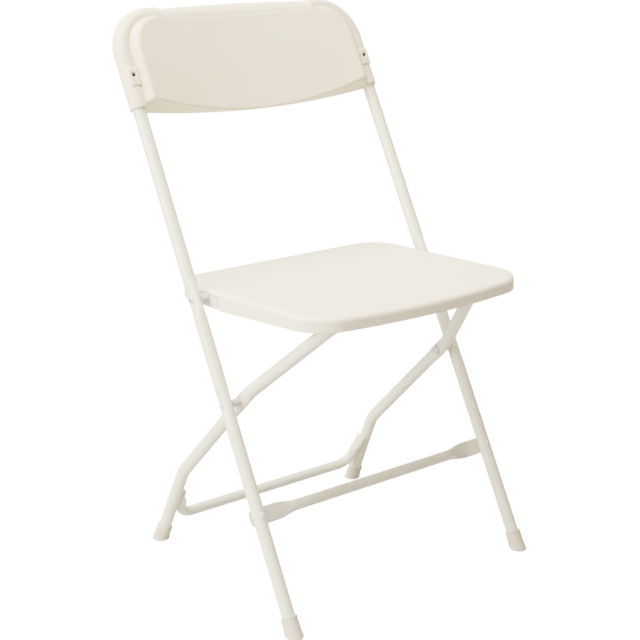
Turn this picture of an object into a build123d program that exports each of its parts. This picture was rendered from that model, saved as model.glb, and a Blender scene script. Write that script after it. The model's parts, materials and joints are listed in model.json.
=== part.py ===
"""Folding chair: steel tube frame with a moulded plastic seat and back.

The front faces -Y, +Z is up and X = 0 is the plane of symmetry. The origin lies on the floor,
halfway between the front edge of the seat and the rearmost point of the back panel.
"""
import os
from math import cos, radians, sin, sqrt

from build123d import *

# ---------------------------------------------------------------- driving dimensions (mm, degrees)
# long tubes: front leg and back upright in one
tube_diameter = 19.0
tube_wall = 1.2
foot_spacing = 440.0            # between the long tubes' axes at the floor
top_spacing = 430.0             # the same at the tops of the tubes
lean = 28.2                     # of the long tubes, back from vertical
tube_length = 857.0             # of each long tube
tube_start = 9.0                # distance of a tube's lower end from the sole, along the tube

# places along the long tubes, from the floor
crossbar_at = 171.0
leg_pivot_at = 333.4
seat_pivot_at = 488.0

# rear legs, in side view
rear_foot_reach = 379.0         # rear sole behind the front sole
leg_bend_y = 318.0              # bend below the pivot: distance behind the front sole
leg_bend_z = 132.0              # and height
leg_rise_angle = 135.0          # direction of the legs above the pivot, from +Y
leg_top_reach = 188.0           # pivot to the top bar's axis
leg_splay_start = 20.0          # above the pivot the legs start to run inwards here
top_bar_half = 88.0             # the legs' inward ends meet the straight top bar here
leg_pivot_x = 190.0             # leg axis from the bend to the splay
rear_foot_x = 197.0             # leg axis at the floor
leg_inward_slope = 0.38         # inward run of the legs per length above the pivot
leg_bend_radius = 70.0
leg_splay_radius = 90.0
top_bar_radius = 32.0
brace_diameter = 16.0
brace_height = 42.0             # axis of the rear brace above the floor
brace_bend_radius = 26.0
brace_arm = 58.0                # length of the brace's ends along the legs

# front crossbar
crossbar_diameter = 16.0
crossbar_wall = 1.2
crossbar_plate = 2.6            # thickness of its flattened ends
crossbar_plate_height = 25.0
crossbar_overhang = 9.0         # flattened end past the tube's axis
crossbar_flat_inner = 180.0     # flattened from here outwards
crossbar_end_round = 10.0       # length of its rounded ends
crossbar_neck = 34.0            # length of the change from round to flat

# feet
foot_height = 28.0
foot_top_radius = 11.3
foot_sole_radius = 12.6
foot_edge = 7.0                 # height of the widest part above the sole
foot_mouth_chamfer = 1.0

# pivots and fasteners
leg_pin_radius = 3.5
seat_pin_radius = 4.0
crossbar_rivet_radius = 3.0
running_clearance = 0.06        # radial, pins in moving parts
assembly_clearance = 0.15       # fasteners in fixed parts, and faces that rest on a round tube
rivet_head_radius = 6.2
rivet_head_height = 2.6
leg_washer_thickness = 1.5
leg_washer_radius = 7.5
spacer_radius = 6.5
seat_spacer_radius = 7.5
face_gap = 0.3                  # between moving faces

# seat, in its own side view: u forward from the pivot, w up from the pivot
seat_tilt = 2.2                 # the seat's front is higher than its rear
seat_half_width = 198.0
seat_forward = 266.0            # pivot to front edge
seat_rearward = 92.5            # pivot to rear edge
seat_front_bow = 22.0           # the middle of the front edge stands forward of its ends
seat_front_corner = 62.0
seat_rear_corner = 50.0
seat_rim = 13.3                 # height of the rim above the pivot
seat_edge_radius = 7.0
seat_dish = 5.0                 # depth of the dished top
seat_dish_radius = 158.0        # plan radius at which the dish meets the rim
seat_skin = 4.0
seat_wall = 3.5
skirt_front = -8.5              # lower edge of the skirt at the front
skirt_deep = -14.5              # and beside the pivot
skirt_rear = -8.5               # and at the rear corners
skirt_relief = 2.5              # lower edge of the rear wall between the corners
relief_half_width = 183.0       # the rear wall is shallow inside this, to clear the folded legs
skirt_knee = 190.0              # the skirt deepens from here towards the pivot
rib_thickness = 2.2
rib_low = 3.0                   # lower edge of the underside ribs
rib_front_gap = 45.0
rib_span = 160.0
rib_places_x = (20.0, 105.0, 145.0)
rib_places_u = (-40.0, 0.0, 45.0, 90.0, 135.0, 180.0)

# seat brackets and tracks
bracket_thickness = 2.5
bracket_front = 180.0           # bracket from here, forward of the pivot
bracket_rear = 30.0             # to here, behind it
bracket_low = -13.0
flange_inner = 171.0            # the bracket's flange under the seat reaches in to here
flange_rear = 22.0              # and starts this far forward of the pivot
flange_rise = 0.5
bracket_screw_x = 179.0
bracket_screw_places = (45.0, 105.0, 165.0)
window_front = 27.0             # opening in the skirt beside the pivot
window_rear = 31.0
window_top = 6.0
window_gap = 0.5
bracket_face_corner = 3.0
track_x = 60.0
track_width = 38.0
track_thickness = 2.0
track_lip = 2.0
track_far = 222.0               # the track's ends, forward of the pivot
track_near = 22.0
track_screw_places = (35.0, 120.0, 210.0)
glide_length = 28.0
glide_wall = 3.1
screw_radius = 2.0
screw_head_radius = 4.0
screw_head_height = 2.2
screw_length = 7.0

# back panel: s runs up the long tubes, off is measured forward from the tubes' plane
sleeve_radius = 13.0
sleeve_bend = 58.0              # radius of the sleeves' bends, on their axis
sleeve_end = 139.5              # the sleeves stop this far from the middle
face_half = 197.0               # half the width of the front face
face_forward = 21.8             # its side edges stand this far forward
face_hollow = 18.3              # its middle lies this far behind them
face_corner = 53.0
wall_forward = 12.5             # the wall round the face starts here
wall_width = 9.5                # and is this wide, seen from the front
wall_corner = 47.0
back_off = 12.8                 # the rear face lies this far behind the tubes' plane
roll_radius = 6.8               # of the upper rear edge
roll_ledge = 0.6                # the rolled top starts this far behind the face
roll_bulge = 0.68               # 0.5 would be a flat slope, 0.71 a quarter of an ellipse
roll_overlap = 3.0              # it runs this far into the sleeves' ends
panel_skin = 3.0
panel_hollow_side = 5.0         # from the hollow's sides to the face's side edges
panel_hollow_low = 4.0          # from its lower edge to the highest part of the underside
panel_pad_width = 16.0          # raised pad round each screw
panel_pad_height = 26.0
panel_pad_rise = 1.3
panel_screw_radius = 1.8
panel_screw_length = 9.0
panel_screw_head_radius = 3.2
panel_screw_head_height = 1.6
panel_screw_recess = 2.8        # the heads sit this deep in the pads
socket_clearance = 0.2          # radial, tube in sleeve
beyond = 1.0                    # cuts run this far past the surface that they open

# places on the back panel, measured down the tubes from its top edge
panel_rise = 65.5               # the top edge stands this far past the ends of the long tubes
sleeve_low_drop = 156.5         # lower ends of the sleeves
sleeve_top_drop = 3.5           # upper side of the sleeves where they run in along the top
face_low_drop = 148.6           # lower corners of the front face
face_low_middle_drop = 180.3    # and the middle of its lower edge, carried as far forward
face_top_drop = 23.0            # straight upper edge of the front face
wall_low_drop = 151.8           # lower corners of the wall round the face
wall_low_middle_drop = 177.6    # and the middle of its lower edge
back_low_drop = 156.5           # lower corners of the rear face
back_low_middle_drop = 170.5    # and the middle of its lower edge
middle_low_drop = 155.0         # lower edge in the tubes' plane, at the sides
middle_low_middle_drop = 174.0  # and in the middle
panel_pad_drop = 111.5          # middle of the raised pads
panel_screw_drop = 108.5        # screws

# ---------------------------------------------------------------- worked out from them
R = tube_diameter / 2
tube_top = tube_start + tube_length
panel_top = tube_top + panel_rise
sleeve_low = panel_top - sleeve_low_drop
sleeve_top = panel_top - sleeve_top_drop
face_low = panel_top - face_low_drop
face_low_middle = panel_top - face_low_middle_drop
face_top = panel_top - face_top_drop
wall_low = panel_top - wall_low_drop
wall_low_middle = panel_top - wall_low_middle_drop
back_low = panel_top - back_low_drop
back_low_middle = panel_top - back_low_middle_drop
middle_low = panel_top - middle_low_drop
middle_low_middle = panel_top - middle_low_middle_drop
panel_pad_at = panel_top - panel_pad_drop
panel_screw_at = panel_top - panel_screw_drop
tube_axis_y = sin(radians(lean))
tube_axis_z = cos(radians(lean))
depth_front = seat_pivot_at * tube_axis_y - seat_forward * cos(radians(seat_tilt))
depth_rear = (panel_top - roll_radius) * tube_axis_y + (back_off - roll_radius) * tube_axis_z + roll_radius
foot_y = -(depth_front + depth_rear) / 2        # front soles, so that the origin is midway
inward = (foot_spacing - top_spacing) / 2 / tube_top


def tube_x(s):
    """Half the spacing of the long tubes' axes at a distance s from the floor."""
    return foot_spacing / 2 - inward * s


def on_tube(s, x=0.0, off=0.0):
    """A point at s along the long tubes and off in front of their plane."""
    return Vector(x, foot_y + s * tube_axis_y - off * tube_axis_z, s * tube_axis_z + off * tube_axis_y)


ahead = on_tube(0, 0, 1) - on_tube(0)            # square to the long tubes, forwards
up_tube = on_tube(1) - on_tube(0)


def front_axis(s, x, off=0.0):
    """Plane whose normal points forwards, square to the long tubes' plane; its local y runs up the tubes."""
    return Plane(on_tube(s, x, off), x_dir=(1, 0, 0), z_dir=ahead)


def tube_plane(s, side):
    """Plane square to a long tube, normal up the tube."""
    along = on_tube(1, side * tube_x(1)) - on_tube(0, side * tube_x(0))
    return Plane(on_tube(s, side * tube_x(s)), x_dir=(1, 0, side * inward / tube_axis_z), z_dir=along)


def side_axis(point, outward):
    """Plane whose normal runs along X, away from the middle."""
    return Plane(point, x_dir=(0, 1, 0), z_dir=(outward, 0, 0))


leg_pivot = on_tube(leg_pivot_at)
seat_pivot = on_tube(seat_pivot_at)
seat_forward_dir = Vector(0, -cos(radians(seat_tilt)), sin(radians(seat_tilt)))
seat_up_dir = Vector(0, sin(radians(seat_tilt)), cos(radians(seat_tilt)))
# seat frame: local x = chair X, local y = backwards (-u), local z = up (w)
seat_plane = Plane(seat_pivot, x_dir=(1, 0, 0), z_dir=seat_up_dir)
panel_base = Plane(on_tube(0), x_dir=(1, 0, 0), z_dir=up_tube)      # local y = -off


def leg_point(t):
    """A point on the right rear leg's axis at t above the leg pivot."""
    x = leg_pivot_x - leg_inward_slope * max(0, t - leg_splay_start)
    return Vector(x, leg_pivot.Y + t * cos(radians(leg_rise_angle)),
                  leg_pivot.Z + t * sin(radians(leg_rise_angle)))


leg_bend = Vector(leg_pivot_x, foot_y + leg_bend_y, leg_bend_z)
rear_foot = Vector(rear_foot_x, foot_y + rear_foot_reach, 0)
lower_dir = (leg_bend - rear_foot).normalized()
leg_end = rear_foot + lower_dir * tube_start
left_right = ((-1, "left"), (1, "right"))
parts = {}


def keep(name, builder):
    """Label a finished piece and remember it under its node name."""
    builder.part.label = name
    parts[name] = builder.part


def mirrored(builder):
    """The same piece on the other side of the plane of symmetry."""
    with BuildPart() as other:
        add(mirror(builder.part, about=Plane.YZ))
    return other


# ---------------------------------------------------------------- long tubes
for side, name in left_right:
    with BuildPart() as upright:
        with BuildSketch(tube_plane(tube_start, side)):
            Circle(R)
            Circle(R - tube_wall, mode=Mode.SUBTRACT)
        extrude(amount=tube_length)
        with BuildSketch(side_axis(leg_pivot, side)):
            Circle(leg_pin_radius + assembly_clearance)
        extrude(amount=foot_spacing, mode=Mode.SUBTRACT)
        with BuildSketch(side_axis(seat_pivot, side)):
            Circle(seat_pin_radius + assembly_clearance)
        extrude(amount=foot_spacing, mode=Mode.SUBTRACT)
        with BuildSketch(front_axis(panel_screw_at, side * tube_x(panel_screw_at))):
            Circle(panel_screw_radius + assembly_clearance)
        extrude(amount=tube_diameter, mode=Mode.SUBTRACT)
        with BuildSketch(front_axis(crossbar_at, side * tube_x(crossbar_at))):
            Circle(crossbar_rivet_radius + assembly_clearance)
        extrude(amount=tube_diameter, both=True, mode=Mode.SUBTRACT)
    keep(f"upright_{name}", upright)


# ---------------------------------------------------------------- feet
def foot(end_plane):
    """A moulded cap on a tube's lower end, cut off level with the floor."""
    mouth = foot_height - tube_start
    below = foot_height
    with BuildPart() as cap:
        with BuildSketch(Plane(end_plane.origin, x_dir=end_plane.x_dir, z_dir=-end_plane.y_dir)):
            with BuildLine():
                Polyline((0, -below), (foot_sole_radius, -below), (foot_sole_radius, foot_edge - tube_start),
                         (foot_top_radius, mouth - foot_mouth_chamfer),
                         (foot_top_radius - foot_mouth_chamfer, mouth), (0, mouth), close=True)
            make_face()
        revolve(axis=Axis(end_plane.origin, end_plane.z_dir))
        with BuildSketch(end_plane):
            Circle(R)
        extrude(amount=foot_height, mode=Mode.SUBTRACT)
        with BuildSketch(Plane.XY):
            with Locations((end_plane.origin.X, end_plane.origin.Y)):
                Rectangle(2 * foot_height, 2 * foot_height)
        extrude(amount=-2 * foot_height, mode=Mode.SUBTRACT)
    return cap


for side, name in left_right:
    front_foot = foot(tube_plane(tube_start, side))
    keep(f"front_foot_{name}", front_foot)
rear_foot_plane = Plane(leg_end, x_dir=(1, 0, -lower_dir.X / lower_dir.Z), z_dir=lower_dir)
rear_foot_right = foot(rear_foot_plane)
keep("rear_foot_right", rear_foot_right)
keep("rear_foot_left", mirrored(rear_foot_right))

# ---------------------------------------------------------------- front crossbar
plate_off = -R - crossbar_plate / 2             # the flattened ends touch the tubes' rear faces
plate_end = tube_x(crossbar_at) + crossbar_overhang
bar_centre = on_tube(crossbar_at, 0, plate_off)


def bar_section(x):
    """Plane across the crossbar at x: local x is forward, local y lies along the long tubes."""
    return Plane(bar_centre + Vector(x, 0, 0), x_dir=ahead, z_dir=(1, 0, 0))


with BuildPart() as front_crossbar:
    with BuildSketch(bar_section(0)):
        Circle(crossbar_diameter / 2)
        Circle(crossbar_diameter / 2 - crossbar_wall, mode=Mode.SUBTRACT)
    extrude(amount=crossbar_flat_inner - crossbar_neck, both=True)
    for side in (-1, 1):
        with BuildSketch(bar_section(side * (crossbar_flat_inner - crossbar_neck))):
            Circle(crossbar_diameter / 2)
        with BuildSketch(bar_section(side * crossbar_flat_inner)):
            Ellipse(crossbar_plate / 2, crossbar_plate_height / 2)
        loft()
        with BuildSketch(front_axis(crossbar_at, 0, plate_off)):
            with BuildLine():
                half = crossbar_plate_height / 2
                start = side * (crossbar_flat_inner - crossbar_plate)
                shoulder = side * (plate_end - crossbar_end_round)
                Line((start, -half), (shoulder, -half))
                ThreePointArc((shoulder, -half), (side * plate_end, 0), (shoulder, half))
                Line((shoulder, half), (start, half))
                Line((start, half), (start, -half))
            make_face()
        extrude(amount=crossbar_plate / 2, both=True)
    for side in (-1, 1):
        with BuildSketch(front_axis(crossbar_at, side * tube_x(crossbar_at))):
            Circle(crossbar_rivet_radius + assembly_clearance)
        extrude(amount=tube_diameter, both=True, mode=Mode.SUBTRACT)
keep("front_crossbar", front_crossbar)


# ---------------------------------------------------------------- rivets
def rivet(plane, shank_radius, low, high):
    """A solid rivet along the plane's normal, from low to high, with a domed head at each end."""
    bulge = (rivet_head_radius ** 2 + rivet_head_height ** 2) / (2 * rivet_head_height)
    with BuildSketch(Plane(plane.origin, x_dir=plane.x_dir, z_dir=-plane.y_dir)) as outline:
        with BuildLine():
            dome = rivet_head_height
            mid = bulge - sqrt(bulge ** 2 - (rivet_head_radius / 2) ** 2)
            Line((0, low - dome), (0, high + dome))
            ThreePointArc((0, high + dome), (rivet_head_radius / 2, high + dome - mid),
                          (rivet_head_radius, high))
            Line((rivet_head_radius, high), (shank_radius, high))
            Line((shank_radius, high), (shank_radius, low))
            Line((shank_radius, low), (rivet_head_radius, low))
            ThreePointArc((rivet_head_radius, low), (rivet_head_radius / 2, low - dome + mid),
                          (0, low - dome))
        make_face()
    revolve(outline.sketch, axis=Axis(plane.origin, plane.z_dir))


with BuildPart() as crossbar_rivets:
    for side in (-1, 1):
        rivet(front_axis(crossbar_at, side * tube_x(crossbar_at)), crossbar_rivet_radius,
              -R - crossbar_plate, R + assembly_clearance)
keep("crossbar_rivets", crossbar_rivets)

leg_tube_x = tube_x(leg_pivot_at)
with BuildPart() as leg_pivot_rivets:
    for side in (-1, 1):
        inner = leg_pivot_x - R - face_gap - leg_washer_thickness
        rivet(side_axis(leg_pivot, side), leg_pin_radius, inner, leg_tube_x + R + assembly_clearance)
keep("leg_pivot_rivets", leg_pivot_rivets)

seat_tube_x = tube_x(seat_pivot_at)
bracket_outer = seat_half_width
bracket_inner = seat_half_width - seat_wall - face_gap - bracket_thickness
with BuildPart() as seat_pivot_rivets:
    for side in (-1, 1):
        rivet(side_axis(seat_pivot, side), seat_pin_radius, bracket_inner - face_gap,
              seat_tube_x + R + assembly_clearance)
keep("seat_pivot_rivets", seat_pivot_rivets)


def rings(pivot, low, high, hole, radius):
    """A pair of plain rings, one on each side, between low and high along X."""
    with BuildPart() as pair:
        for side in (-1, 1):
            with BuildSketch(side_axis(pivot + Vector(side * low, 0, 0), side)):
                Circle(radius)
                Circle(hole, mode=Mode.SUBTRACT)
            extrude(amount=high - low)
    return pair


leg_pivot_spacers = rings(leg_pivot, leg_pivot_x + R + face_gap, leg_tube_x - R - assembly_clearance,
                          leg_pin_radius + assembly_clearance, spacer_radius)
keep("leg_pivot_spacers", leg_pivot_spacers)
leg_pivot_washers = rings(leg_pivot, leg_pivot_x - R - face_gap - leg_washer_thickness,
                          leg_pivot_x - R - face_gap, leg_pin_radius + assembly_clearance,
                          leg_washer_radius)
keep("leg_pivot_washers", leg_pivot_washers)
seat_pivot_spacers = rings(seat_pivot, bracket_outer + face_gap, seat_tube_x - R - assembly_clearance,
                           seat_pin_radius + assembly_clearance, seat_spacer_radius)
keep("seat_pivot_spacers", seat_pivot_spacers)

# ---------------------------------------------------------------- rear legs
bar_corner = leg_point(leg_top_reach)
bar_end = Vector(top_bar_half, bar_corner.Y, bar_corner.Z)
with BuildPart() as rear_leg_right:
    with BuildLine() as leg_path:
        FilletPolyline(leg_end, leg_bend, leg_point(leg_splay_start), bar_corner, bar_end,
                       radius=[leg_bend_radius, leg_splay_radius, top_bar_radius])
    with BuildSketch(Plane(leg_path.line @ 0, z_dir=leg_path.line % 0)):
        Circle(R)
        Circle(R - tube_wall, mode=Mode.SUBTRACT)
    sweep()
    with BuildSketch(side_axis(leg_pivot, 1)):
        Circle(leg_pin_radius + running_clearance)
    extrude(amount=foot_spacing, mode=Mode.SUBTRACT)
keep("rear_leg_right", rear_leg_right)
keep("rear_leg_left", mirrored(rear_leg_right))

with BuildPart() as rear_top_bar:
    with BuildSketch(Plane(bar_end, z_dir=(-1, 0, 0))):
        Circle(R)
        Circle(R - tube_wall, mode=Mode.SUBTRACT)
    extrude(amount=2 * top_bar_half)
keep("rear_top_bar", rear_top_bar)

# the brace's ends lie inside the legs, touching them along the lower stretch
brace_offset = R + brace_diameter / 2 + assembly_clearance


def beside_leg(z):
    """Point on the brace's right end, beside the lower part of the leg, at height z."""
    on_leg = rear_foot + lower_dir * (z / lower_dir.Z)
    return Vector(on_leg.X - brace_offset, on_leg.Y, z)


brace_corner = beside_leg(brace_height)
brace_top = beside_leg(brace_height + brace_arm * lower_dir.Z)
with BuildPart() as rear_brace:
    with BuildLine() as brace_path:
        FilletPolyline((-brace_top.X, brace_top.Y, brace_top.Z),
                       (-brace_corner.X, brace_corner.Y, brace_corner.Z), brace_corner, brace_top,
                       radius=brace_bend_radius)
    with BuildSketch(Plane(brace_path.line @ 0, z_dir=brace_path.line % 0)):
        Circle(brace_diameter / 2)
        Circle(brace_diameter / 2 - crossbar_wall, mode=Mode.SUBTRACT)
    sweep()
keep("rear_brace", rear_brace)

for side, name in left_right:
    with BuildPart() as glide:
        centre = Vector(side * track_x, bar_corner.Y, bar_corner.Z)
        with BuildSketch(side_axis(centre, side)):
            Circle(R + glide_wall)
            Circle(R, mode=Mode.SUBTRACT)
        extrude(amount=glide_length / 2, both=True)
    keep(f"glide_{name}", glide)


# ---------------------------------------------------------------- seat
top_bar = Vector(0, bar_corner.Y, bar_corner.Z) - seat_pivot
top_bar_w = top_bar.dot(seat_up_dir)
track_low = top_bar_w + R + glide_wall + face_gap      # the glides just clear the tracks
pad_low = track_low + track_thickness
flange_low = pad_low + flange_rise
dish_sphere = (seat_dish_radius ** 2 + seat_dish ** 2) / (2 * seat_dish)
seat_middle = (seat_forward - seat_rearward) / 2


def seat_point(x, u, w):
    """A point in the seat's own frame: x across, u forward of the pivot, w above it."""
    return seat_pivot + Vector(x, 0, 0) + seat_forward_dir * u + seat_up_dir * w


def seat_outline(inset, w):
    """The seat's plan at height w, shrunk by inset all round; its local y runs backwards."""
    half = seat_half_width - inset
    front = -(seat_forward - inset)
    rear = seat_rearward - inset
    shoulder = front + seat_front_bow
    with BuildSketch(seat_plane.offset(w)) as plan:
        with BuildLine():
            Line((-half, rear), (half, rear))
            Line((half, rear), (half, shoulder))
            ThreePointArc((half, shoulder), (0, front), (-half, shoulder))
            Line((-half, shoulder), (-half, rear))
        make_face()
        fillet(plan.vertices().group_by(Axis.Y)[-1], seat_rear_corner - inset)
        fillet(plan.vertices().group_by(Axis.Y)[0], seat_front_corner - inset)
    return plan.sketch


def seat_block(x0, x1, u0, u1, w0, w1, mode=Mode.ADD):
    """A block in the seat's frame, on both sides of the plane of symmetry."""
    with BuildSketch(seat_plane.offset(w0)) as plan:
        for side in (-1, 1):
            with Locations((side * (x0 + x1) / 2, -(u0 + u1) / 2)):
                Rectangle(x1 - x0, u1 - u0)
    extrude(plan.sketch, amount=w1 - w0, mode=mode)


outer_plan = seat_outline(0, skirt_deep)
inner_plan = seat_outline(seat_wall, skirt_deep - beyond)
side_view = Plane(seat_pivot, x_dir=seat_forward_dir, z_dir=(-1, 0, 0))
skirt_far = 2 * seat_forward

with BuildPart() as seat_hollow:
    extrude(inner_plan, amount=seat_rim - seat_skin - skirt_deep + beyond)
    with Locations(Plane(seat_point(0, seat_middle, seat_rim - seat_dish + dish_sphere))):
        Sphere(dish_sphere + seat_skin, rotation=(90, 0, 0), mode=Mode.SUBTRACT)

with BuildPart() as seat_panel:
    extrude(outer_plan, amount=seat_rim - skirt_deep)
    rim_edges = seat_panel.faces().sort_by(Axis((0, 0, 0), seat_up_dir))[-1].edges()
    fillet(rim_edges, seat_edge_radius)
    add(seat_hollow.part, mode=Mode.SUBTRACT)
    # underside pads under the tracks and the bracket flanges, and a grid of ribs
    seat_block(track_x - track_width / 2, track_x + track_width / 2, track_near, track_far,
               pad_low, seat_rim - seat_skin)
    seat_block(flange_inner, bracket_inner, flange_rear, bracket_front, flange_low + bracket_thickness,
               seat_rim - seat_skin / 2)
    for x in rib_places_x:
        seat_block(x - rib_thickness / 2, x + rib_thickness / 2, -seat_rearward + seat_wall,
                   seat_forward - rib_front_gap, rib_low, seat_rim - seat_skin)
    for u in rib_places_u:
        seat_block(track_x + track_width / 2, rib_span, u, u + rib_thickness, rib_low,
                   seat_rim - seat_skin)
        seat_block(-rib_thickness, track_x - track_width / 2, u, u + rib_thickness, rib_low,
                   seat_rim - seat_skin)
    with Locations(Plane(seat_point(0, seat_middle, seat_rim - seat_dish + dish_sphere))):
        Sphere(dish_sphere, rotation=(90, 0, 0), mode=Mode.SUBTRACT)
    # the skirt is deepest beside the pivots
    with BuildSketch(side_view):
        with BuildLine():
            Polyline((skirt_far, skirt_front), (skirt_knee, skirt_front), (window_front, skirt_deep),
                     (-window_rear, skirt_deep), (-seat_rearward, skirt_rear), (-skirt_far, skirt_rear),
                     (-skirt_far, -skirt_far), (skirt_far, -skirt_far), close=True)
        make_face()
    extrude(amount=seat_half_width + beyond, both=True, mode=Mode.SUBTRACT)
    # between the rear corners the wall is shallow, where the folded legs lie
    seat_block(0, relief_half_width, -seat_rearward - beyond, 0, skirt_deep - beyond, skirt_relief,
               Mode.SUBTRACT)
    # openings that show the brackets beside the pivots
    seat_block(bracket_inner, seat_half_width + beyond, -window_rear, window_front, skirt_deep - beyond,
               window_top, Mode.SUBTRACT)
    for side in (-1, 1):
        for u in bracket_screw_places:
            with Locations(Plane(seat_point(side * bracket_screw_x, u, flange_low), z_dir=-seat_up_dir)):
                Hole(screw_radius, depth=screw_length)
        for u in track_screw_places:
            with Locations(Plane(seat_point(side * track_x, u, track_low), z_dir=-seat_up_dir)):
                Hole(screw_radius, depth=screw_length)
keep("seat_panel", seat_panel)

# ---------------------------------------------------------------- seat brackets
for side, name in left_right:
    with BuildPart() as bracket:
        # upright web
        web_plane = Plane(seat_point(side * bracket_inner, 0, 0), x_dir=seat_forward_dir, z_dir=(side, 0, 0))
        with BuildSketch(web_plane):
            with BuildLine():
                up = -side
                flange_top = up * (flange_low + bracket_thickness)
                Polyline((-bracket_rear, up * bracket_low), (window_front, up * bracket_low),
                         (bracket_front, up * flange_low), (bracket_front, flange_top),
                         (-bracket_rear, flange_top), close=True)
            make_face()
        extrude(amount=bracket_thickness)
        # flange under the seat
        with BuildSketch(seat_plane.offset(flange_low)):
            with Locations((side * (flange_inner + bracket_inner + bracket_thickness) / 2,
                            -(flange_rear + bracket_front) / 2)):
                Rectangle(bracket_inner + bracket_thickness - flange_inner, bracket_front - flange_rear)
        extrude(amount=bracket_thickness)
        # raised face that fills the opening in the skirt
        with BuildSketch(web_plane):
            with Locations(((window_front - window_rear) / 2, up * (bracket_low + window_top) / 2)):
                RectangleRounded(window_front + window_rear - 2 * window_gap,
                                 window_top - bracket_low - 2 * window_gap, bracket_face_corner)
        extrude(amount=bracket_outer - bracket_inner)
        with BuildSketch(side_axis(seat_pivot, side)):
            Circle(seat_pin_radius + running_clearance)
        extrude(amount=foot_spacing, mode=Mode.SUBTRACT)
        for u in bracket_screw_places:
            with Locations(Plane(seat_point(side * bracket_screw_x, u, flange_low), z_dir=-seat_up_dir)):
                Hole(screw_radius + assembly_clearance, depth=2 * bracket_thickness)
    keep(f"seat_bracket_{name}", bracket)

with BuildPart() as bracket_screws:
    for side in (-1, 1):
        for u in bracket_screw_places:
            with Locations(Plane(seat_point(side * bracket_screw_x, u, flange_low), z_dir=seat_up_dir)):
                Cylinder(screw_radius, screw_length - 1, align=(Align.CENTER, Align.CENTER, Align.MIN))
            with Locations(Plane(seat_point(side * bracket_screw_x, u, flange_low - screw_head_height),
                                 z_dir=seat_up_dir)):
                Cylinder(screw_head_radius, screw_head_height, align=(Align.CENTER, Align.CENTER, Align.MIN))
keep("bracket_screws", bracket_screws)

# ---------------------------------------------------------------- seat tracks
for side, name in left_right:
    with BuildPart() as track:
        with BuildSketch(seat_plane.offset(track_low)):
            with Locations((side * track_x, -(track_near + track_far) / 2)):
                Rectangle(track_width, track_far - track_near)
        extrude(amount=track_thickness)
        with BuildSketch(seat_plane.offset(track_low - track_lip)):
            for edge in (-1, 1):
                with Locations((side * track_x + edge * (track_width - track_thickness) / 2,
                                -(track_near + track_far) / 2)):
                    Rectangle(track_thickness, track_far - track_near)
        extrude(amount=track_lip)
        for u in track_screw_places:
            with Locations(Plane(seat_point(side * track_x, u, track_low), z_dir=-seat_up_dir)):
                CounterSinkHole(screw_radius + assembly_clearance, screw_head_radius,
                                depth=2 * track_thickness)
    keep(f"seat_track_{name}", track)

countersink = screw_head_radius - screw_radius - assembly_clearance
with BuildPart() as track_screws:
    for side in (-1, 1):
        for u in track_screw_places:
            with Locations(Plane(seat_point(side * track_x, u, track_low), z_dir=seat_up_dir)):
                Cylinder(screw_radius, screw_length - 1, align=(Align.CENTER, Align.CENTER, Align.MIN))
                Cone(screw_head_radius - assembly_clearance, screw_radius, countersink,
                     align=(Align.CENTER, Align.CENTER, Align.MIN))
keep("track_screws", track_screws)

# ---------------------------------------------------------------- back panel
sleeve_x = tube_x(panel_pad_at)
sleeve_row = sleeve_top - sleeve_radius         # the sleeves' axis along the top
pad_front = sleeve_radius + panel_pad_rise


def panel_outline(off, half, low, low_middle, high, corner):
    """The panel seen from the front at one depth: a bowed lower edge and rounded upper corners."""
    with BuildSketch(front_axis(0, 0, off)) as face:
        with BuildLine():
            ThreePointArc((-half, low), (0, low_middle), (half, low))
            Polyline((half, low), (half, high), (-half, high), (-half, low))
        make_face()
        fillet(face.vertices().group_by(Axis.Y)[-1], corner)
    return face.sketch


def face_section(inset, half, reach, back):
    """Section across the chair behind the hollowed front face; its local y runs backwards."""
    edge = inset - face_forward
    with BuildSketch(panel_base.offset(face_low_middle - panel_skin)) as section:
        with BuildLine():
            ThreePointArc((-half, edge), (0, edge + face_hollow), (half, edge))
            Polyline((half, edge), (reach, edge), (reach, back), (-reach, back), (-reach, edge),
                     (-half, edge))
        make_face()
    return section.sketch


def roll_profile(x, top):
    """Side view of the rolled top at x; local x runs forwards and local y up the tubes."""
    front = face_forward - face_hollow * (1 - (x / face_half) ** 2) - roll_ledge
    crown = roll_radius - back_off
    turn = roll_radius * (1 - cos(radians(45)))
    with BuildSketch(Plane(on_tube(0, x), x_dir=ahead, z_dir=(-1, 0, 0))) as profile:
        with BuildLine():
            Line((-back_off, face_top - face_corner), (-back_off, top - roll_radius))
            ThreePointArc((-back_off, top - roll_radius), (turn - back_off, top - turn), (crown, top))
            ThreePointArc((crown, top), (crown + roll_bulge * (front - crown),
                                         face_top + roll_bulge * (top - face_top)), (front, face_top))
            Line((front, face_top), (-back_off / 2, face_top - face_corner))
            Line((-back_off / 2, face_top - face_corner), (-back_off, face_top - face_corner))
        make_face()
    return profile.sketch


rear_outline = panel_outline(-back_off, sleeve_x, back_low, back_low_middle, sleeve_row, sleeve_bend)
tube_outline = panel_outline(0, sleeve_x, middle_low, middle_low_middle, sleeve_row, sleeve_bend)
wall_half = face_half + wall_width
wall_foot = panel_outline(0, wall_half, middle_low, middle_low_middle, face_top, wall_corner)
wall_start = panel_outline(wall_forward, wall_half, wall_low, wall_low_middle, face_top, wall_corner)
face_outline = panel_outline(face_forward, face_half, face_low, face_low_middle, face_top, face_corner)
hollow_half = face_half - panel_hollow_side
hollow_outline = panel_outline(0, hollow_half, face_low + panel_hollow_low,
                               back_low_middle + panel_hollow_low, face_top - panel_skin,
                               face_corner - panel_skin)
section_run = panel_top - face_low_middle + 2 * panel_skin

with BuildPart() as panel_hollow_space:
    extrude(face_section(panel_skin, hollow_half, face_half, back_off - panel_skin), amount=section_run)
    extrude(hollow_outline, amount=2 * face_forward, both=True, mode=Mode.INTERSECT)

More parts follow.
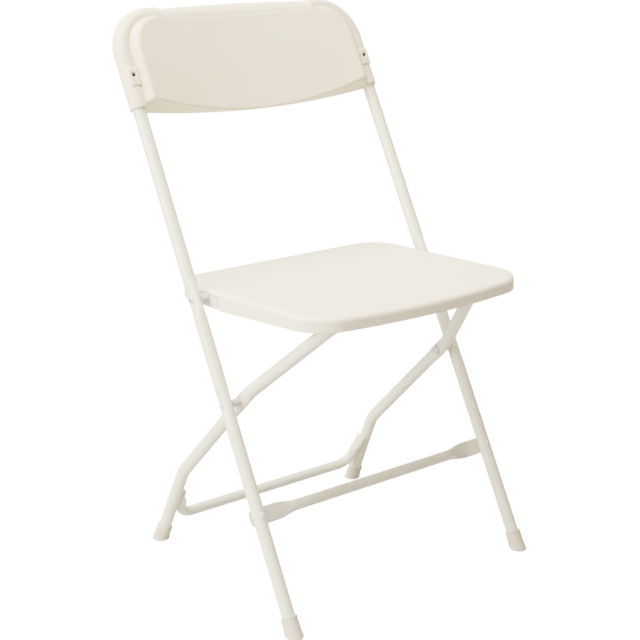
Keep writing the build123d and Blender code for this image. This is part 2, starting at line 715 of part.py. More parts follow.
with BuildPart() as back_panel:
    # front plate, with a sloping wall round it
    loft([wall_foot, wall_start], ruled=True)
    loft([wall_start, face_outline], ruled=True)
    extrude(face_section(0, face_half, wall_half + beyond, back_off), amount=section_run, mode=Mode.INTERSECT)
    # slab behind it, out to the sleeves, and the rolled top between the sleeves' ends
    loft([rear_outline, tube_outline], ruled=True)
    roll_half = sleeve_end + roll_overlap
    loft([roll_profile(-roll_half, sleeve_top), roll_profile(0, panel_top),
          roll_profile(roll_half, sleeve_top)])
    for side in (-1, 1):
        bend_start = sleeve_row - sleeve_bend
        bend_end = side * (sleeve_x - sleeve_bend)
        bend_middle = sleeve_bend * cos(radians(45))
        with BuildLine(front_axis(0, 0)) as sleeve_path:
            Line((side * sleeve_x, sleeve_low), (side * sleeve_x, bend_start))
            ThreePointArc((side * sleeve_x, bend_start),
                          (bend_end + side * bend_middle, bend_start + bend_middle), (bend_end, sleeve_row))
            Line((bend_end, sleeve_row), (side * sleeve_end, sleeve_row))
        with BuildSketch(Plane(sleeve_path.line @ 0, z_dir=sleeve_path.line % 0)):
            Circle(sleeve_radius)
        sweep()
        with BuildSketch(front_axis(panel_pad_at, side * sleeve_x)):
            Rectangle(panel_pad_width, panel_pad_height)
        extrude(amount=pad_front)
    add(panel_hollow_space.part, mode=Mode.SUBTRACT)
    for side in (-1, 1):
        with BuildSketch(tube_plane(back_low_middle, side)):
            Circle(R + socket_clearance)
        extrude(amount=tube_top + face_gap - back_low_middle, mode=Mode.SUBTRACT)
        screw_x = side * tube_x(panel_screw_at)
        with BuildSketch(front_axis(panel_screw_at, screw_x)):
            Circle(panel_screw_radius + assembly_clearance)
        extrude(amount=pad_front + beyond, mode=Mode.SUBTRACT)
        with BuildSketch(front_axis(panel_screw_at, screw_x, pad_front - panel_screw_recess)):
            Circle(panel_screw_head_radius + assembly_clearance)
        extrude(amount=panel_screw_recess + beyond, mode=Mode.SUBTRACT)
keep("back_panel", back_panel)

head_at = pad_front - panel_screw_recess
with BuildPart() as back_panel_screws:
    for side in (-1, 1):
        screw_x = side * tube_x(panel_screw_at)
        with BuildSketch(front_axis(panel_screw_at, screw_x, head_at - panel_screw_length)):
            Circle(panel_screw_radius)
        extrude(amount=panel_screw_length)
        with BuildSketch(front_axis(panel_screw_at, screw_x, head_at)):
            Circle(panel_screw_head_radius)
        extrude(amount=panel_screw_head_height)
keep("back_panel_screws", back_panel_screws)

# ---------------------------------------------------------------- write every piece
os.makedirs("parts", exist_ok=True)
for name, solid in parts.items():
    export_step(solid, f"parts/{name}.step")
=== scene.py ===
"""Folding chair: painted steel tubes with a moulded ivory plastic seat and back.

Lengths are in millimetres until a mesh is written, and in metres in the node trees' inputs.
"""
import json
import math

import bmesh
import bpy
import numpy as np
from mathutils import Matrix, Vector


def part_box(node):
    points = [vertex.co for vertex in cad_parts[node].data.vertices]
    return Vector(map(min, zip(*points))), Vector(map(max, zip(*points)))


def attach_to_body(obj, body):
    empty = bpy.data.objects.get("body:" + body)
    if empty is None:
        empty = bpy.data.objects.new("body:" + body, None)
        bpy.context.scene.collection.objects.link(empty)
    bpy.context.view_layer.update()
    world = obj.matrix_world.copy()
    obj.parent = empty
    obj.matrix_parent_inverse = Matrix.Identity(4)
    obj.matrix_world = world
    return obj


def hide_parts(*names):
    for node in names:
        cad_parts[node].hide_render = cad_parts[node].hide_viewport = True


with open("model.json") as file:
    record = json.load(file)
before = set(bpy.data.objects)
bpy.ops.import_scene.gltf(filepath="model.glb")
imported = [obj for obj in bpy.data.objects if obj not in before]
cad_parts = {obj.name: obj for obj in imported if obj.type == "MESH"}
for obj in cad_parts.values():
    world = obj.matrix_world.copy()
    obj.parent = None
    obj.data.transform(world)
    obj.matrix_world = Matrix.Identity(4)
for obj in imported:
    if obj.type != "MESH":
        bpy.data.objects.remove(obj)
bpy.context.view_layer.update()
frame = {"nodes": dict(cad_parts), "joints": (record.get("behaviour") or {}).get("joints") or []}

MM = 0.001
ACROSS = Vector((1, 0, 0))
SIDES = ((-1, "left"), (1, "right"))


# ---------------------------------------------------------------- places taken from the frame
def joint_place(name):
    """A joint's point, in millimetres."""
    found = next(j for j in frame["joints"] if j["name"] == name)
    return Vector(found["pos_m"]) / MM


def node_box(name):
    """Lowest and highest corner of a node, in millimetres."""
    low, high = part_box(name)
    return low / MM, high / MM


seat_pivot = joint_place("seat_fold")
leg_pivot = joint_place("leg_fold")
up_tube = (seat_pivot - leg_pivot).normalized()
ahead = Vector((0, -up_tube.z, up_tube.y))          # square to the long tubes, forwards
sole = leg_pivot - up_tube * (leg_pivot.z / up_tube.z)      # the long tubes' line on the floor
bar_low, bar_high = node_box("rear_top_bar")
tube_radius = (bar_high.z - bar_low.z) / 2
bar_middle = (bar_low + bar_high) / 2
tube_low, tube_high = node_box("upright_right")
tube_start = (tube_low.z + tube_radius * up_tube.y) / up_tube.z
tube_end = (tube_high.z - tube_radius * up_tube.y) / up_tube.z
tube_x_start = tube_high.x - tube_radius
tube_x_end = tube_low.x + tube_radius
leg_at = leg_pivot.z / up_tube.z                    # places along the long tubes, from the floor
seat_at = seat_pivot.z / up_tube.z


def tube_x(s):
    """Half the distance between the long tubes' axes, at s along them."""
    return tube_x_start + (tube_x_end - tube_x_start) * (s - tube_start) / (tube_end - tube_start)


def on_tube(s, x=0.0, off=0.0):
    """A point s along the long tubes and off in front of their plane."""
    return sole + up_tube * s + ahead * off + ACROSS * x


# ---------------------------------------------------------------- sizes of the pieces
foot_height = 28.0
crossbar_at = 171.0
crossbar_radius = 8.0
crossbar_neck_start = 148.0
crossbar_flat_start = 182.0
crossbar_flat_half = 12.6
crossbar_plate = 2.6
crossbar_end_round = 7.0

leg_x = 190.0
leg_bend_y = 318.0
leg_bend_z = 132.0
rear_foot_x = 197.0
rear_foot_y = 379.0
leg_splay_start = 20.0
leg_rise = math.radians(135)
leg_inward_slope = 0.38
leg_bend_radius = 70.0
leg_splay_radius = 90.0
bar_bend_radius = 32.0
brace_radius = 8.0
brace_height = 42.0
brace_arm = 58.0
brace_bend_radius = 26.0
brace_gap = 0.15            # between its ends and the legs, before they are pressed
brace_press = (34.0, 0.72, 0.12)        # reach, squash across, spread the other way

face_half = 197.0           # half the width of the back's front face
face_forward = 21.8         # its side edges stand this far in front of the tubes' plane
face_hollow = 18.3          # its middle lies this far behind its side edges
face_low = 782.9            # its lower corners
face_low_bow = 26.3
face_top = 908.5
face_corner = 52.0
face_wall_slope = 0.7       # of the wall round the face
face_wall_width = 9.5
back_face = 12.8            # the panel's rear face, behind the tubes' plane
back_low = 775.0
back_low_bow = 14.0
panel_top = 931.5
panel_top_bow = 3.5
roll_radius = 6.8           # of the upper rear edge
roll_ledge = 0.6            # the rolled top starts this far behind the face
roll_bulge = 0.68           # 0.5 would be a flat slope
sleeve_radius = 13.0
sleeve_bend = 58.0
sleeve_low = 775.0
sleeve_top = 928.0
sleeve_end = 139.5
socket_gap = 0.8
socket_end = 870.0
pad_at = 820.0
pad_half_width = 8.0
pad_half_height = 13.0
pad_rise = 1.3
panel_screw_at = 823.0
panel_screw_head = 3.2
panel_screw_recess = 2.8
panel_step = 1.45           # grain of the panel's mesh

seat_tilt = math.radians(2.2)
seat_half = 198.0
seat_forward = 266.0
seat_rearward = 92.5
seat_bow = 22.0
seat_front_corner = 62.0
seat_rear_corner = 50.0
seat_rim = 13.3
seat_edge = 7.5
seat_dish = 5.0
seat_fall = 3.0             # the front edge rolls down by this
seat_fall_run = 62.0
seat_skin = 4.0
seat_wall = 3.5
skirt_front = -8.5
skirt_deep = -14.5
skirt_rear = -8.5
skirt_relief = 2.5
window_front = 28.3
window_rear = 31.0
window_top = 6.5
window_flare = 3.2
window_round = 2.0
rim_inset = 11.5            # the rim's last ring
rim_sink = 0.06             # and how far it has begun to fall
grid_inset = 16.0           # the grid's edge
grid_sink = 0.15
grid_half = 56              # quads from the middle of the seat to its edge


# ---------------------------------------------------------------- mesh helpers
def link(obj):
    bpy.context.scene.collection.objects.link(obj)
    return obj


def mesh_object(name, points, faces, edges=(), sharp=40):
    """An object from points in millimetres, smooth except where faces meet at more than sharp degrees."""
    mesh = bpy.data.meshes.new(name)
    mesh.from_pydata(np.asarray(points, float) * MM, list(edges), list(faces))
    mesh.update()
    obj = link(bpy.data.objects.new(name, mesh))
    if len(mesh.polygons):
        close_up(obj, sharp)
    return obj


def close_up(obj, sharp=40):
    """Merge doubled points, turn the faces outwards and shade the piece smooth."""
    work = bmesh.new()
    work.from_mesh(obj.data)
    bmesh.ops.remove_doubles(work, verts=work.verts, dist=1e-6)
    bmesh.ops.dissolve_degenerate(work, edges=work.edges, dist=1e-7)
    bmesh.ops.recalc_face_normals(work, faces=work.faces)
    work.to_mesh(obj.data)
    work.free()
    obj.data.shade_smooth()
    obj.data.set_sharp_from_angle(angle=math.radians(sharp))
    return obj


def settle(obj, sharp=40):
    """Apply an object's modifiers, leaving a plain mesh."""
    graph = bpy.context.evaluated_depsgraph_get()
    graph.update()
    mesh = bpy.data.meshes.new_from_object(obj.evaluated_get(graph))
    obj.modifiers.clear()
    old = obj.data
    obj.data = mesh
    bpy.data.meshes.remove(old)
    return close_up(obj, sharp)


def join(name, pieces):
    """One object from several, which are removed."""
    work = bmesh.new()
    materials = []
    for piece in pieces:
        work.from_mesh(piece.data)
        materials += [m for m in piece.data.materials if m not in materials]
    mesh = bpy.data.meshes.new(name)
    work.to_mesh(mesh)
    work.free()
    for material in materials:
        mesh.materials.append(material)
    for piece in pieces:
        bpy.data.objects.remove(piece)
    return link(bpy.data.objects.new(name, mesh))


def cut(obj, cutter, sharp=40):
    """Take the cutter's shape out of an object, and remove the cutter."""
    tool = obj.modifiers.new("cut", "BOOLEAN")
    tool.object = cutter
    tool.solver = "EXACT"
    tool.operation = "DIFFERENCE"
    settle(obj, sharp)
    bpy.data.objects.remove(cutter)
    return obj


def rings(name, loops, cap_first=False, cap_last=False, sharp=40):
    """A skin over a row of closed loops that all have the same number of points."""
    count = len(loops[0])
    points = np.concatenate([np.asarray(loop, float) for loop in loops])
    faces = []
    for row in range(len(loops) - 1):
        for k in range(count):
            a, b = row * count + k, row * count + (k + 1) % count
            faces.append((a, b, b + count, a + count))
    if cap_first:
        faces.append(tuple(range(count - 1, -1, -1)))
    if cap_last:
        faces.append(tuple(range(len(points) - count, len(points))))
    return mesh_object(name, points, faces, sharp=sharp)


def lathe(name, profile, origin, axis, segments=40, sharp=40):
    """Turn a profile of (radius, height) points about an axis through origin."""
    axis = Vector(axis).normalized()
    one = axis.orthogonal().normalized()
    two = axis.cross(one)
    turns = [2 * math.pi * k / segments for k in range(segments)]
    loops = [[origin + axis * h + (one * math.cos(t) + two * math.sin(t)) * max(r, 1e-4) for t in turns]
             for r, h in profile]
    return rings(name, loops, profile[0][0] > 0.01, profile[-1][0] > 0.01, sharp)


def place(obj, body, material, slot, *nodes):
    """Give a finished piece its material and its body, and hide the nodes it stands for. The slot argument is
    not used.
    """
    obj.data.materials.clear()
    obj.data.materials.append(material)
    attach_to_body(obj, body)
    if nodes:
        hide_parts(*nodes)
    return obj


def bend_route(corners, radii, arc_step=2.0):
    """The corners joined by straight runs, with an arc of the given radius at each inner corner."""
    points = [Vector(corners[0])]
    for before, corner, after, radius in zip(corners, corners[1:], corners[2:], radii):
        inward, outward = (before - corner).normalized(), (after - corner).normalized()
        half = inward.angle(outward) / 2
        reach = radius / math.tan(half)
        centre = corner + (inward + outward).normalized() * (radius / math.sin(half))
        start, end = corner + inward * reach - centre, corner + outward * reach - centre
        sweep = start.angle(end)
        steps = max(3, int(sweep * radius / arc_step))
        points += [centre + start.slerp(end, k / steps).normalized() * radius for k in range(steps + 1)]
    return points + [Vector(corners[-1])]


# ---------------------------------------------------------------- materials
class Finish:
    """A material whose patterns read the piece's object coordinates."""

    def __init__(self, name, **sockets):
        self.material = bpy.data.materials.new(name)
        self.material.use_nodes = True
        self.shader = self.material.node_tree.nodes["Principled BSDF"].inputs
        for socket, value in sockets.items():
            self.shader[socket.replace("_", " ")].default_value = value
        self.where = self.add("TexCoord", "Object")

    def link(self, value, socket):
        self.material.node_tree.links.new(value, socket)

    def add(self, kind, result, settings=None, **sockets):
        """One output of a new node, with its sockets linked or set."""
        node = self.material.node_tree.nodes.new("ShaderNode" + kind)
        for key, value in (settings or {}).items():
            setattr(node, key, value)
        for key, value in sockets.items():
            socket = node.inputs[key.replace("_", " ")]
            if isinstance(value, bpy.types.NodeSocket):
                self.link(value, socket)
            else:
                socket.default_value = value
        return node.outputs[result]

    def noise(self, scale, detail, roughness=0.5):
        """Noise whose cells are about 1 / scale metres across."""
        return self.add("TexNoise", "Fac", Vector=self.where, Scale=scale, Detail=detail, Roughness=roughness)

    def spread(self, noise, low, high):
        """Map a noise's middle range onto low..high."""
        return self.add("MapRange", "Result", Value=noise, From_Min=0.3, From_Max=0.7, To_Min=low,
                        To_Max=high)

    def coloured(self, noise, light, dark):
        """Clouds of two colours."""
        factor = self.spread(noise, 0.0, 1.0)
        mixed = self.add("Mix", "Result", {"data_type": "RGBA"}, Factor=factor, A=(*light, 1), B=(*dark, 1))
        self.link(mixed, self.shader["Base Color"])

    def polished(self, noise, low, high):
        self.link(self.spread(noise, low, high), self.shader["Roughness"])

    def bumped(self, *layers):
        """Bumps from (noise, depth in metres), each over the one before."""
        under = {}
        for noise, depth in layers:
            under["Normal"] = self.add("Bump", "Normal", Height=noise, Strength=1.0, Distance=depth, **under)
        self.link(under["Normal"], self.shader["Normal"])


def moulded_plastic(name, light, dark, roughness, grain=1500.0, grain_depth=0.00003):
    """Plastic from a textured mould: fine grain, faint clouding and slow waves from cooling."""
    finish = Finish(name, IOR=1.46, Specular_IOR_Level=0.45)
    finish.coloured(finish.noise(9.0, 4.0), light, dark)
    finish.polished(finish.noise(60.0, 5.0, 0.6), roughness - 0.05, roughness + 0.06)
    finish.bumped((finish.noise(22.0, 1.0), 0.00025), (finish.noise(grain, 2.0, 0.6), grain_depth))
    return finish.material


def powder_coat(name, light, dark, roughness, peel=420.0, peel_depth=0.00006):
    """Baked powder paint: orange-peel skin with small changes of gloss and thickness."""
    finish = Finish(name, IOR=1.5, Coat_Weight=0.25, Coat_Roughness=0.22)
    finish.coloured(finish.noise(16.0, 3.0), light, dark)
    finish.polished(finish.noise(90.0, 4.0), roughness - 0.05, roughness + 0.07)
    finish.bumped((finish.noise(peel, 1.0), peel_depth))
    return finish.material


def bare_metal(name, light, dark, roughness):
    """Plated steel with fine drawn scratches."""
    finish = Finish(name, Metallic=1.0)
    finish.coloured(finish.noise(120.0, 4.0), light, dark)
    finish.polished(finish.noise(700.0, 3.0), roughness - 0.08, roughness + 0.1)
    finish.bumped((finish.noise(1800.0, 2.0), 0.00002))
    return finish.material


ivory_seat = moulded_plastic("ivory_seat_plastic", (0.81, 0.76, 0.56), (0.785, 0.73, 0.52), 0.48)
ivory_back = moulded_plastic("ivory_back_plastic", (0.76, 0.70, 0.47), (0.735, 0.67, 0.44), 0.50)
tube_paint = powder_coat("ivory_powder_coat", (0.75, 0.72, 0.59), (0.72, 0.69, 0.55), 0.34)
rivet_paint = powder_coat("painted_rivet", (0.74, 0.725, 0.68), (0.66, 0.64, 0.59), 0.30)
bracket_paint = powder_coat("painted_bracket", (0.74, 0.73, 0.71), (0.70, 0.69, 0.67), 0.36)
foot_plastic = moulded_plastic("beige_foot_cap", (0.58, 0.53, 0.41), (0.54, 0.49, 0.37), 0.58, 900.0, 0.00004)
nylon = moulded_plastic("pale_nylon", (0.60, 0.58, 0.53), (0.55, 0.53, 0.48), 0.42, 1200.0)
zinc = bare_metal("zinc_plate", (0.50, 0.50, 0.49), (0.40, 0.40, 0.39), 0.38)
# near-black metal for the bottoms of the rivet bores: painted shade for the shadow inside the hollow rivets
bore_shadow = bare_metal("painted_shade_bore", (0.05, 0.045, 0.035), (0.02, 0.018, 0.014), 0.6)
dark_screw = bare_metal("blackened_screw", (0.10, 0.095, 0.085), (0.05, 0.05, 0.045), 0.45)


# ---------------------------------------------------------------- node trees for the pieces
class Tree:
    """A geometry node tree with named inputs."""

    def __init__(self, name, **inputs):
        self.group = bpy.data.node_groups.new(name, "GeometryNodeTree")
        face = self.group.interface
        face.new_socket("Geometry", in_out="INPUT", socket_type="NodeSocketGeometry")
        face.new_socket("Geometry", in_out="OUTPUT", socket_type="NodeSocketGeometry")
        for title, kind in inputs.items():
            face.new_socket(title.replace("_", " "), in_out="INPUT", socket_type=f"NodeSocket{kind}")
        self.inputs = self.group.nodes.new("NodeGroupInput").outputs
        self.output = self.group.nodes.new("NodeGroupOutput").inputs["Geometry"]

    def add(self, kind, settings=None, **sockets):
        """A node with its sockets linked or set, given by name or as _0, _1 by place."""
        node = self.group.nodes.new(kind)
        for key, value in (settings or {}).items():
            setattr(node, key, value)
        for key, value in sockets.items():
            socket = node.inputs[int(key[1:])] if key[1:].isdigit() else node.inputs[key.replace("_", " ")]
            if isinstance(value, bpy.types.NodeSocket):
                self.group.links.new(value, socket)
            else:
                socket.default_value = value
        return node.outputs

    def maths(self, operation, *values):
        slots = {f"_{k}": v for k, v in enumerate(values)}
        return self.add("ShaderNodeMath", {"operation": operation}, **slots)[0]

    def vectors(self, operation, *values):
        slots = {f"_{k}": v for k, v in enumerate(values)}
        outputs = self.add("ShaderNodeVectorMath", {"operation": operation}, **slots)
        return outputs["Value"] if operation in ("DOT_PRODUCT", "LENGTH", "DISTANCE") else outputs["Vector"]

    def scaled(self, vector, factor):
        return self.add("ShaderNodeVectorMath", {"operation": "SCALE"}, _0=vector, Scale=factor)["Vector"]

    def fading(self, distance, outer, inner):
        """1 within the inner distance, easing to 0 at the outer one."""
        return self.add("ShaderNodeMapRange", {"interpolation_type": "SMOOTHSTEP"}, Value=distance,
                        From_Min=outer, From_Max=inner, To_Min=0.0, To_Max=1.0)[0]

    def end(self, geometry, finish=None):
        """Realize what is instanced, give it its material and send it out."""
        real = self.add("GeometryNodeRealizeInstances", Geometry=geometry)["Geometry"]
        if finish is not None:
            real = self.add("GeometryNodeSetMaterial", Geometry=real, Material=finish)["Geometry"]
        self.group.links.new(real, self.output)
        return self.group


def attach(obj, group, **values):
    """Add a node tree to an object, with its inputs set by their sockets' identifiers."""
    modifier = obj.modifiers.new(group.name, "NODES")
    modifier.node_group = group
    names = {item.name: item.identifier for item in group.interface.items_tree
             if item.item_type == "SOCKET" and item.in_out == "INPUT"}
    for title, value in values.items():
        modifier[names[title.replace("_", " ")]] = value
    return modifier


def tube_tree():
    """A round tube along a path."""
    tree = Tree("bent_tube", Radius="Float", Step="Float", Segments="Int", Finish="Material")
    given = tree.inputs
    path = tree.add("GeometryNodeMeshToCurve", Mesh=given["Geometry"])["Curve"]
    even = tree.add("GeometryNodeResampleCurve", {"mode": "LENGTH"}, Curve=path, Length=given["Step"])
    ring = tree.add("GeometryNodeCurvePrimitiveCircle", Resolution=given["Segments"],
                    Radius=given["Radius"])
    skin_of_tube = tree.add("GeometryNodeCurveToMesh", Curve=even["Curve"], Profile_Curve=ring["Curve"],
                            Fill_Caps=True)
    return tree.end(skin_of_tube["Mesh"], given["Finish"])


def press_tree():
    """Press a stretch of tube flatter across, so that it spreads the other way."""
    tree = Tree("pressed_flat", Centre="Vector", Along="Vector", Across="Vector", Reach="Float",
                Squash="Float", Widen="Float")
    given = tree.inputs
    place_now = tree.add("GeometryNodeInputPosition")[0]
    from_centre = tree.vectors("SUBTRACT", place_now, given["Centre"])
    distance = tree.vectors("LENGTH", from_centre)
    inner = tree.maths("MULTIPLY", given["Reach"], 0.35)
    amount = tree.fading(distance, given["Reach"], inner)
    third = tree.vectors("CROSS_PRODUCT", given["Along"], given["Across"])
    squashed = tree.maths("MULTIPLY", tree.vectors("DOT_PRODUCT", from_centre, given["Across"]),
                          tree.maths("MULTIPLY", amount, given["Squash"]))
    widened = tree.maths("MULTIPLY", tree.vectors("DOT_PRODUCT", from_centre, third),
                         tree.maths("MULTIPLY", amount, given["Widen"]))
    inwards = tree.scaled(given["Across"], squashed)
    shift = tree.vectors("SUBTRACT", tree.scaled(third, widened), inwards)
    moved = tree.add("GeometryNodeSetPosition", Geometry=given["Geometry"], Offset=shift)
    return tree.end(moved["Geometry"])


def dimple_tree():
    """Push a round spot of a surface by a vector."""
    tree = Tree("weld_mark", Centre="Vector", Push="Vector", Width="Float")
    given = tree.inputs
    distance = tree.vectors("DISTANCE", tree.add("GeometryNodeInputPosition")[0], given["Centre"])
    amount = tree.fading(distance, given["Width"], 0.0)
    moved = tree.add("GeometryNodeSetPosition", Geometry=given["Geometry"],
                     Offset=tree.scaled(given["Push"], amount))
    return tree.end(moved["Geometry"])


def fastener_tree():
    """The same head on every point, turned to the point's facing attribute."""
    tree = Tree("fasteners", Head="Object", Finish="Material")
    given = tree.inputs
    head = tree.add("GeometryNodeObjectInfo", Object=given["Head"], As_Instance=True)["Geometry"]
    facing = tree.add("GeometryNodeInputNamedAttribute", {"data_type": "FLOAT_VECTOR"}, Name="facing")[0]
    turn = tree.add("FunctionNodeAlignRotationToVector", {"axis": "Z"}, Vector=facing)["Rotation"]
    heads = tree.add("GeometryNodeInstanceOnPoints", Points=given["Geometry"], Instance=head,
                     Rotation=turn)
    return tree.end(heads["Instances"], given["Finish"])


def rib_tree():
    """A row of equal ribs at an even pitch, whose upper edges reach up into a shell above them."""
    tree = Tree("rib_row", Size="Vector", Start="Vector", Pitch="Vector", Count="Int", Origin="Vector",
                Turn="Rotation", Upwards="Vector", Shell="Object", Sink="Float", Below="Float",
                Finish="Material")
    given = tree.inputs
    row = tree.add("GeometryNodeMeshLine", Count=given["Count"], Start_Location=given["Start"],
                   Offset=given["Pitch"])["Mesh"]
    bar = tree.add("GeometryNodeMeshCube", Size=given["Size"], Vertices_X=9, Vertices_Y=33,
                   Vertices_Z=2)["Mesh"]
    ribs = tree.add("GeometryNodeInstanceOnPoints", Points=row, Instance=bar)["Instances"]
    ribs = tree.add("GeometryNodeRealizeInstances", Geometry=ribs)["Geometry"]
    height = tree.add("ShaderNodeSeparateXYZ", _0=tree.add("GeometryNodeInputPosition")[0])["Z"]
    level = tree.add("ShaderNodeSeparateXYZ", _0=given["Start"])["Z"]
    upper = tree.add("FunctionNodeCompare", {"data_type": "FLOAT", "operation": "GREATER_THAN"},
                     _0=height, _1=level)[0]
    ribs = tree.add("GeometryNodeStoreNamedAttribute", {"data_type": "BOOLEAN", "domain": "POINT"},
                    Geometry=ribs, Name="upper", _3=upper)["Geometry"]
    ribs = tree.add("GeometryNodeTransform", Geometry=ribs, Translation=given["Origin"],
                    Rotation=given["Turn"])["Geometry"]
    shell = tree.add("GeometryNodeObjectInfo", Object=given["Shell"])["Geometry"]
    from_below = tree.vectors("SUBTRACT", tree.add("GeometryNodeInputPosition")[0],
                              tree.scaled(given["Upwards"], given["Below"]))
    found = tree.add("GeometryNodeRaycast", Target_Geometry=shell, Source_Position=from_below,
                     Ray_Direction=given["Upwards"])
    sunk = tree.vectors("ADD", found["Hit Position"], tree.scaled(given["Upwards"], given["Sink"]))
    upper = tree.add("GeometryNodeInputNamedAttribute", {"data_type": "BOOLEAN"}, Name="upper")[0]
    both = tree.add("FunctionNodeBooleanMath", {"operation": "AND"}, _0=upper, _1=found["Is Hit"])[0]
    ribs = tree.add("GeometryNodeSetPosition", Geometry=ribs, Selection=both, Position=sunk)["Geometry"]
    return tree.end(ribs, given["Finish"])


bent_tube, pressed_flat, weld_mark = tube_tree(), press_tree(), dimple_tree()
fasteners, rib_row = fastener_tree(), rib_tree()


def tube(name, route, radius, presses=(), marks=(), step=2.2, segments=40):
    """A tube along a route, with pressed stretches and weld marks."""
    path = mesh_object(name, route, [], [(k, k + 1) for k in range(len(route) - 1)])
    attach(path, bent_tube, Radius=radius * MM, Step=step * MM, Segments=segments, Finish=tube_paint)
    for centre, along, reach, squash, widen in presses:
        attach(path, pressed_flat, Centre=Vector(centre) * MM, Along=Vector(along).normalized(),
               Across=ACROSS, Reach=reach * MM, Squash=squash, Widen=widen)
    for centre, push, width in marks:
        attach(path, weld_mark, Centre=Vector(centre) * MM, Push=Vector(push) * MM, Width=width * MM)
    return settle(path)


def turned(name, profile):
    """A head turned about Z, standing on height 0."""
    return lathe(name, profile, Vector((0, 0, 0)), (0, 0, 1))


def heads(name, head, places, material):
    """The given head at each (point, facing), as one piece."""
    points = mesh_object(name, [p for p, _ in places], [])
    facing = points.data.attributes.new("facing", "FLOAT_VECTOR", "POINT")
    facing.data.foreach_set("vector", [c for _, f in places for c in Vector(f).normalized()])
    attach(points, fasteners, Head=head, Finish=material)
    settle(points)
    bpy.data.objects.remove(head)
    return points


def bores(name, places, radius, depth):
    """Near-black round bottoms of hollow rivets' bores: painted shade standing in for the shadow deep inside
    them.
    """
    low = depth - 0.9
    profile = [(0.0, depth), (radius * 0.7, depth), (radius, depth - 0.15), (radius, low), (0.0, low)]
    return heads(name, turned(name + "_bottom", profile), places, bore_shadow)


# ---------------------------------------------------------------- long tubes
seat_press = (34.0, 0.24, 0.20)         # reach, squash across, spread the other way
leg_press = (26.0, 0.14, 0.07)
seat_face = tube_radius * (1 - seat_press[1])
leg_face = tube_radius * (1 - leg_press[1])
for side, name in SIDES:
    route = [on_tube(s, side * tube_x(s)) for s in (tube_start, tube_end)]
    along = route[1] - route[0]
    long_tube = tube(f"long_tube_{name}", route, tube_radius,
                     [(on_tube(seat_at, side * tube_x(seat_at)), along, *seat_press),
                      (on_tube(leg_at, side * tube_x(leg_at)), along, *leg_press)])
    place(long_tube, "frame", tube_paint, "frame_tube", f"upright_{name}")


# ---------------------------------------------------------------- rear legs
def leg_ends(side):
    """A rear leg's axis at the floor and at its bend, and the direction from one to the other."""
    foot = Vector((side * rear_foot_x, sole.y + rear_foot_y, 0))
    bend = Vector((side * leg_x, sole.y + leg_bend_y, leg_bend_z))
    return foot, bend, (bend - foot).normalized()


def leg_point(side, t):
    """A point on a rear leg's axis at t above the leg pivot."""
    x = leg_x - leg_inward_slope * max(0, t - leg_splay_start)
    return leg_pivot + Vector((side * x, t * math.cos(leg_rise), t * math.sin(leg_rise)))


bar_reach = (bar_middle - leg_pivot).length
rear_press = (30.0, 0.30, 0.16)
rear_face = tube_radius * (1 - rear_press[1])
weld_heights = (62.0, 88.0)
weld_depth = 1.0
weld_width = 3.4
bead_thickness = 1.6
for side, name in SIDES:
    foot, bend, lower = leg_ends(side)
    corner = leg_point(side, bar_reach)
    end = Vector((side * bar_high.x, corner.y, corner.z))
    route = bend_route([foot + lower * tube_start, bend, leg_point(side, leg_splay_start), corner, end],
                       [leg_bend_radius, leg_splay_radius, bar_bend_radius])
    marks = [(foot + lower * (height / lower.z) + ACROSS * side * tube_radius, ACROSS * -side * weld_depth,
              weld_width) for height in weld_heights]
    rise = Vector((0, math.cos(leg_rise), math.sin(leg_rise)))
    leg = tube(f"rear_leg_{name}", route, tube_radius,
               [(leg_pivot + ACROSS * side * leg_x, rise, *rear_press)], marks, step=1.8)
    place(leg, "rear_legs", tube_paint, "frame_tube", f"rear_leg_{name}")

bar_ends = [Vector((x, bar_middle.y, bar_middle.z)) for x in (bar_low.x, bar_high.x)]
place(tube("top_bar", bar_ends, tube_radius), "rear_legs", tube_paint, "frame_tube", "rear_top_bar")


def bead(name, centre):
    """A weld bead round an end of the top bar."""
    turns = [2 * math.pi * k / 14 for k in range(15)]
    profile = [(tube_radius + bead_thickness * math.sin(t) * 0.5, bead_thickness * math.cos(t))
               for t in turns]
    return lathe(name, profile, centre, ACROSS, 48)


beads = [bead(f"bead_{name}", end) for end, (_, name) in zip(bar_ends, SIDES)]
place(join("top_bar_welds", beads), "rear_legs", tube_paint, "frame_tube")

# rear brace, whose ends are pressed onto the legs
foot, _, lower = leg_ends(1)
beside = tube_radius + brace_radius + brace_gap
brace_corner = foot + lower * (brace_height / lower.z) - ACROSS * beside
brace_top = brace_corner + lower * brace_arm
flip = Matrix.Diagonal((-1, 1, 1))
route = bend_route([flip @ brace_top, flip @ brace_corner, brace_corner, brace_top],
                   [brace_bend_radius] * 2)
end_presses = []
for flip_x in (-1, 1):
    end = Vector((flip_x * brace_top.x, brace_top.y, brace_top.z))
    run = Vector((flip_x * lower.x, lower.y, lower.z))
    end_presses.append((end + ACROSS * flip_x * brace_radius, run, *brace_press))
brace = tube("rear_brace_tube", route, brace_radius, end_presses, step=1.6)
place(brace, "rear_legs", tube_paint, "frame_tube", "rear_brace")


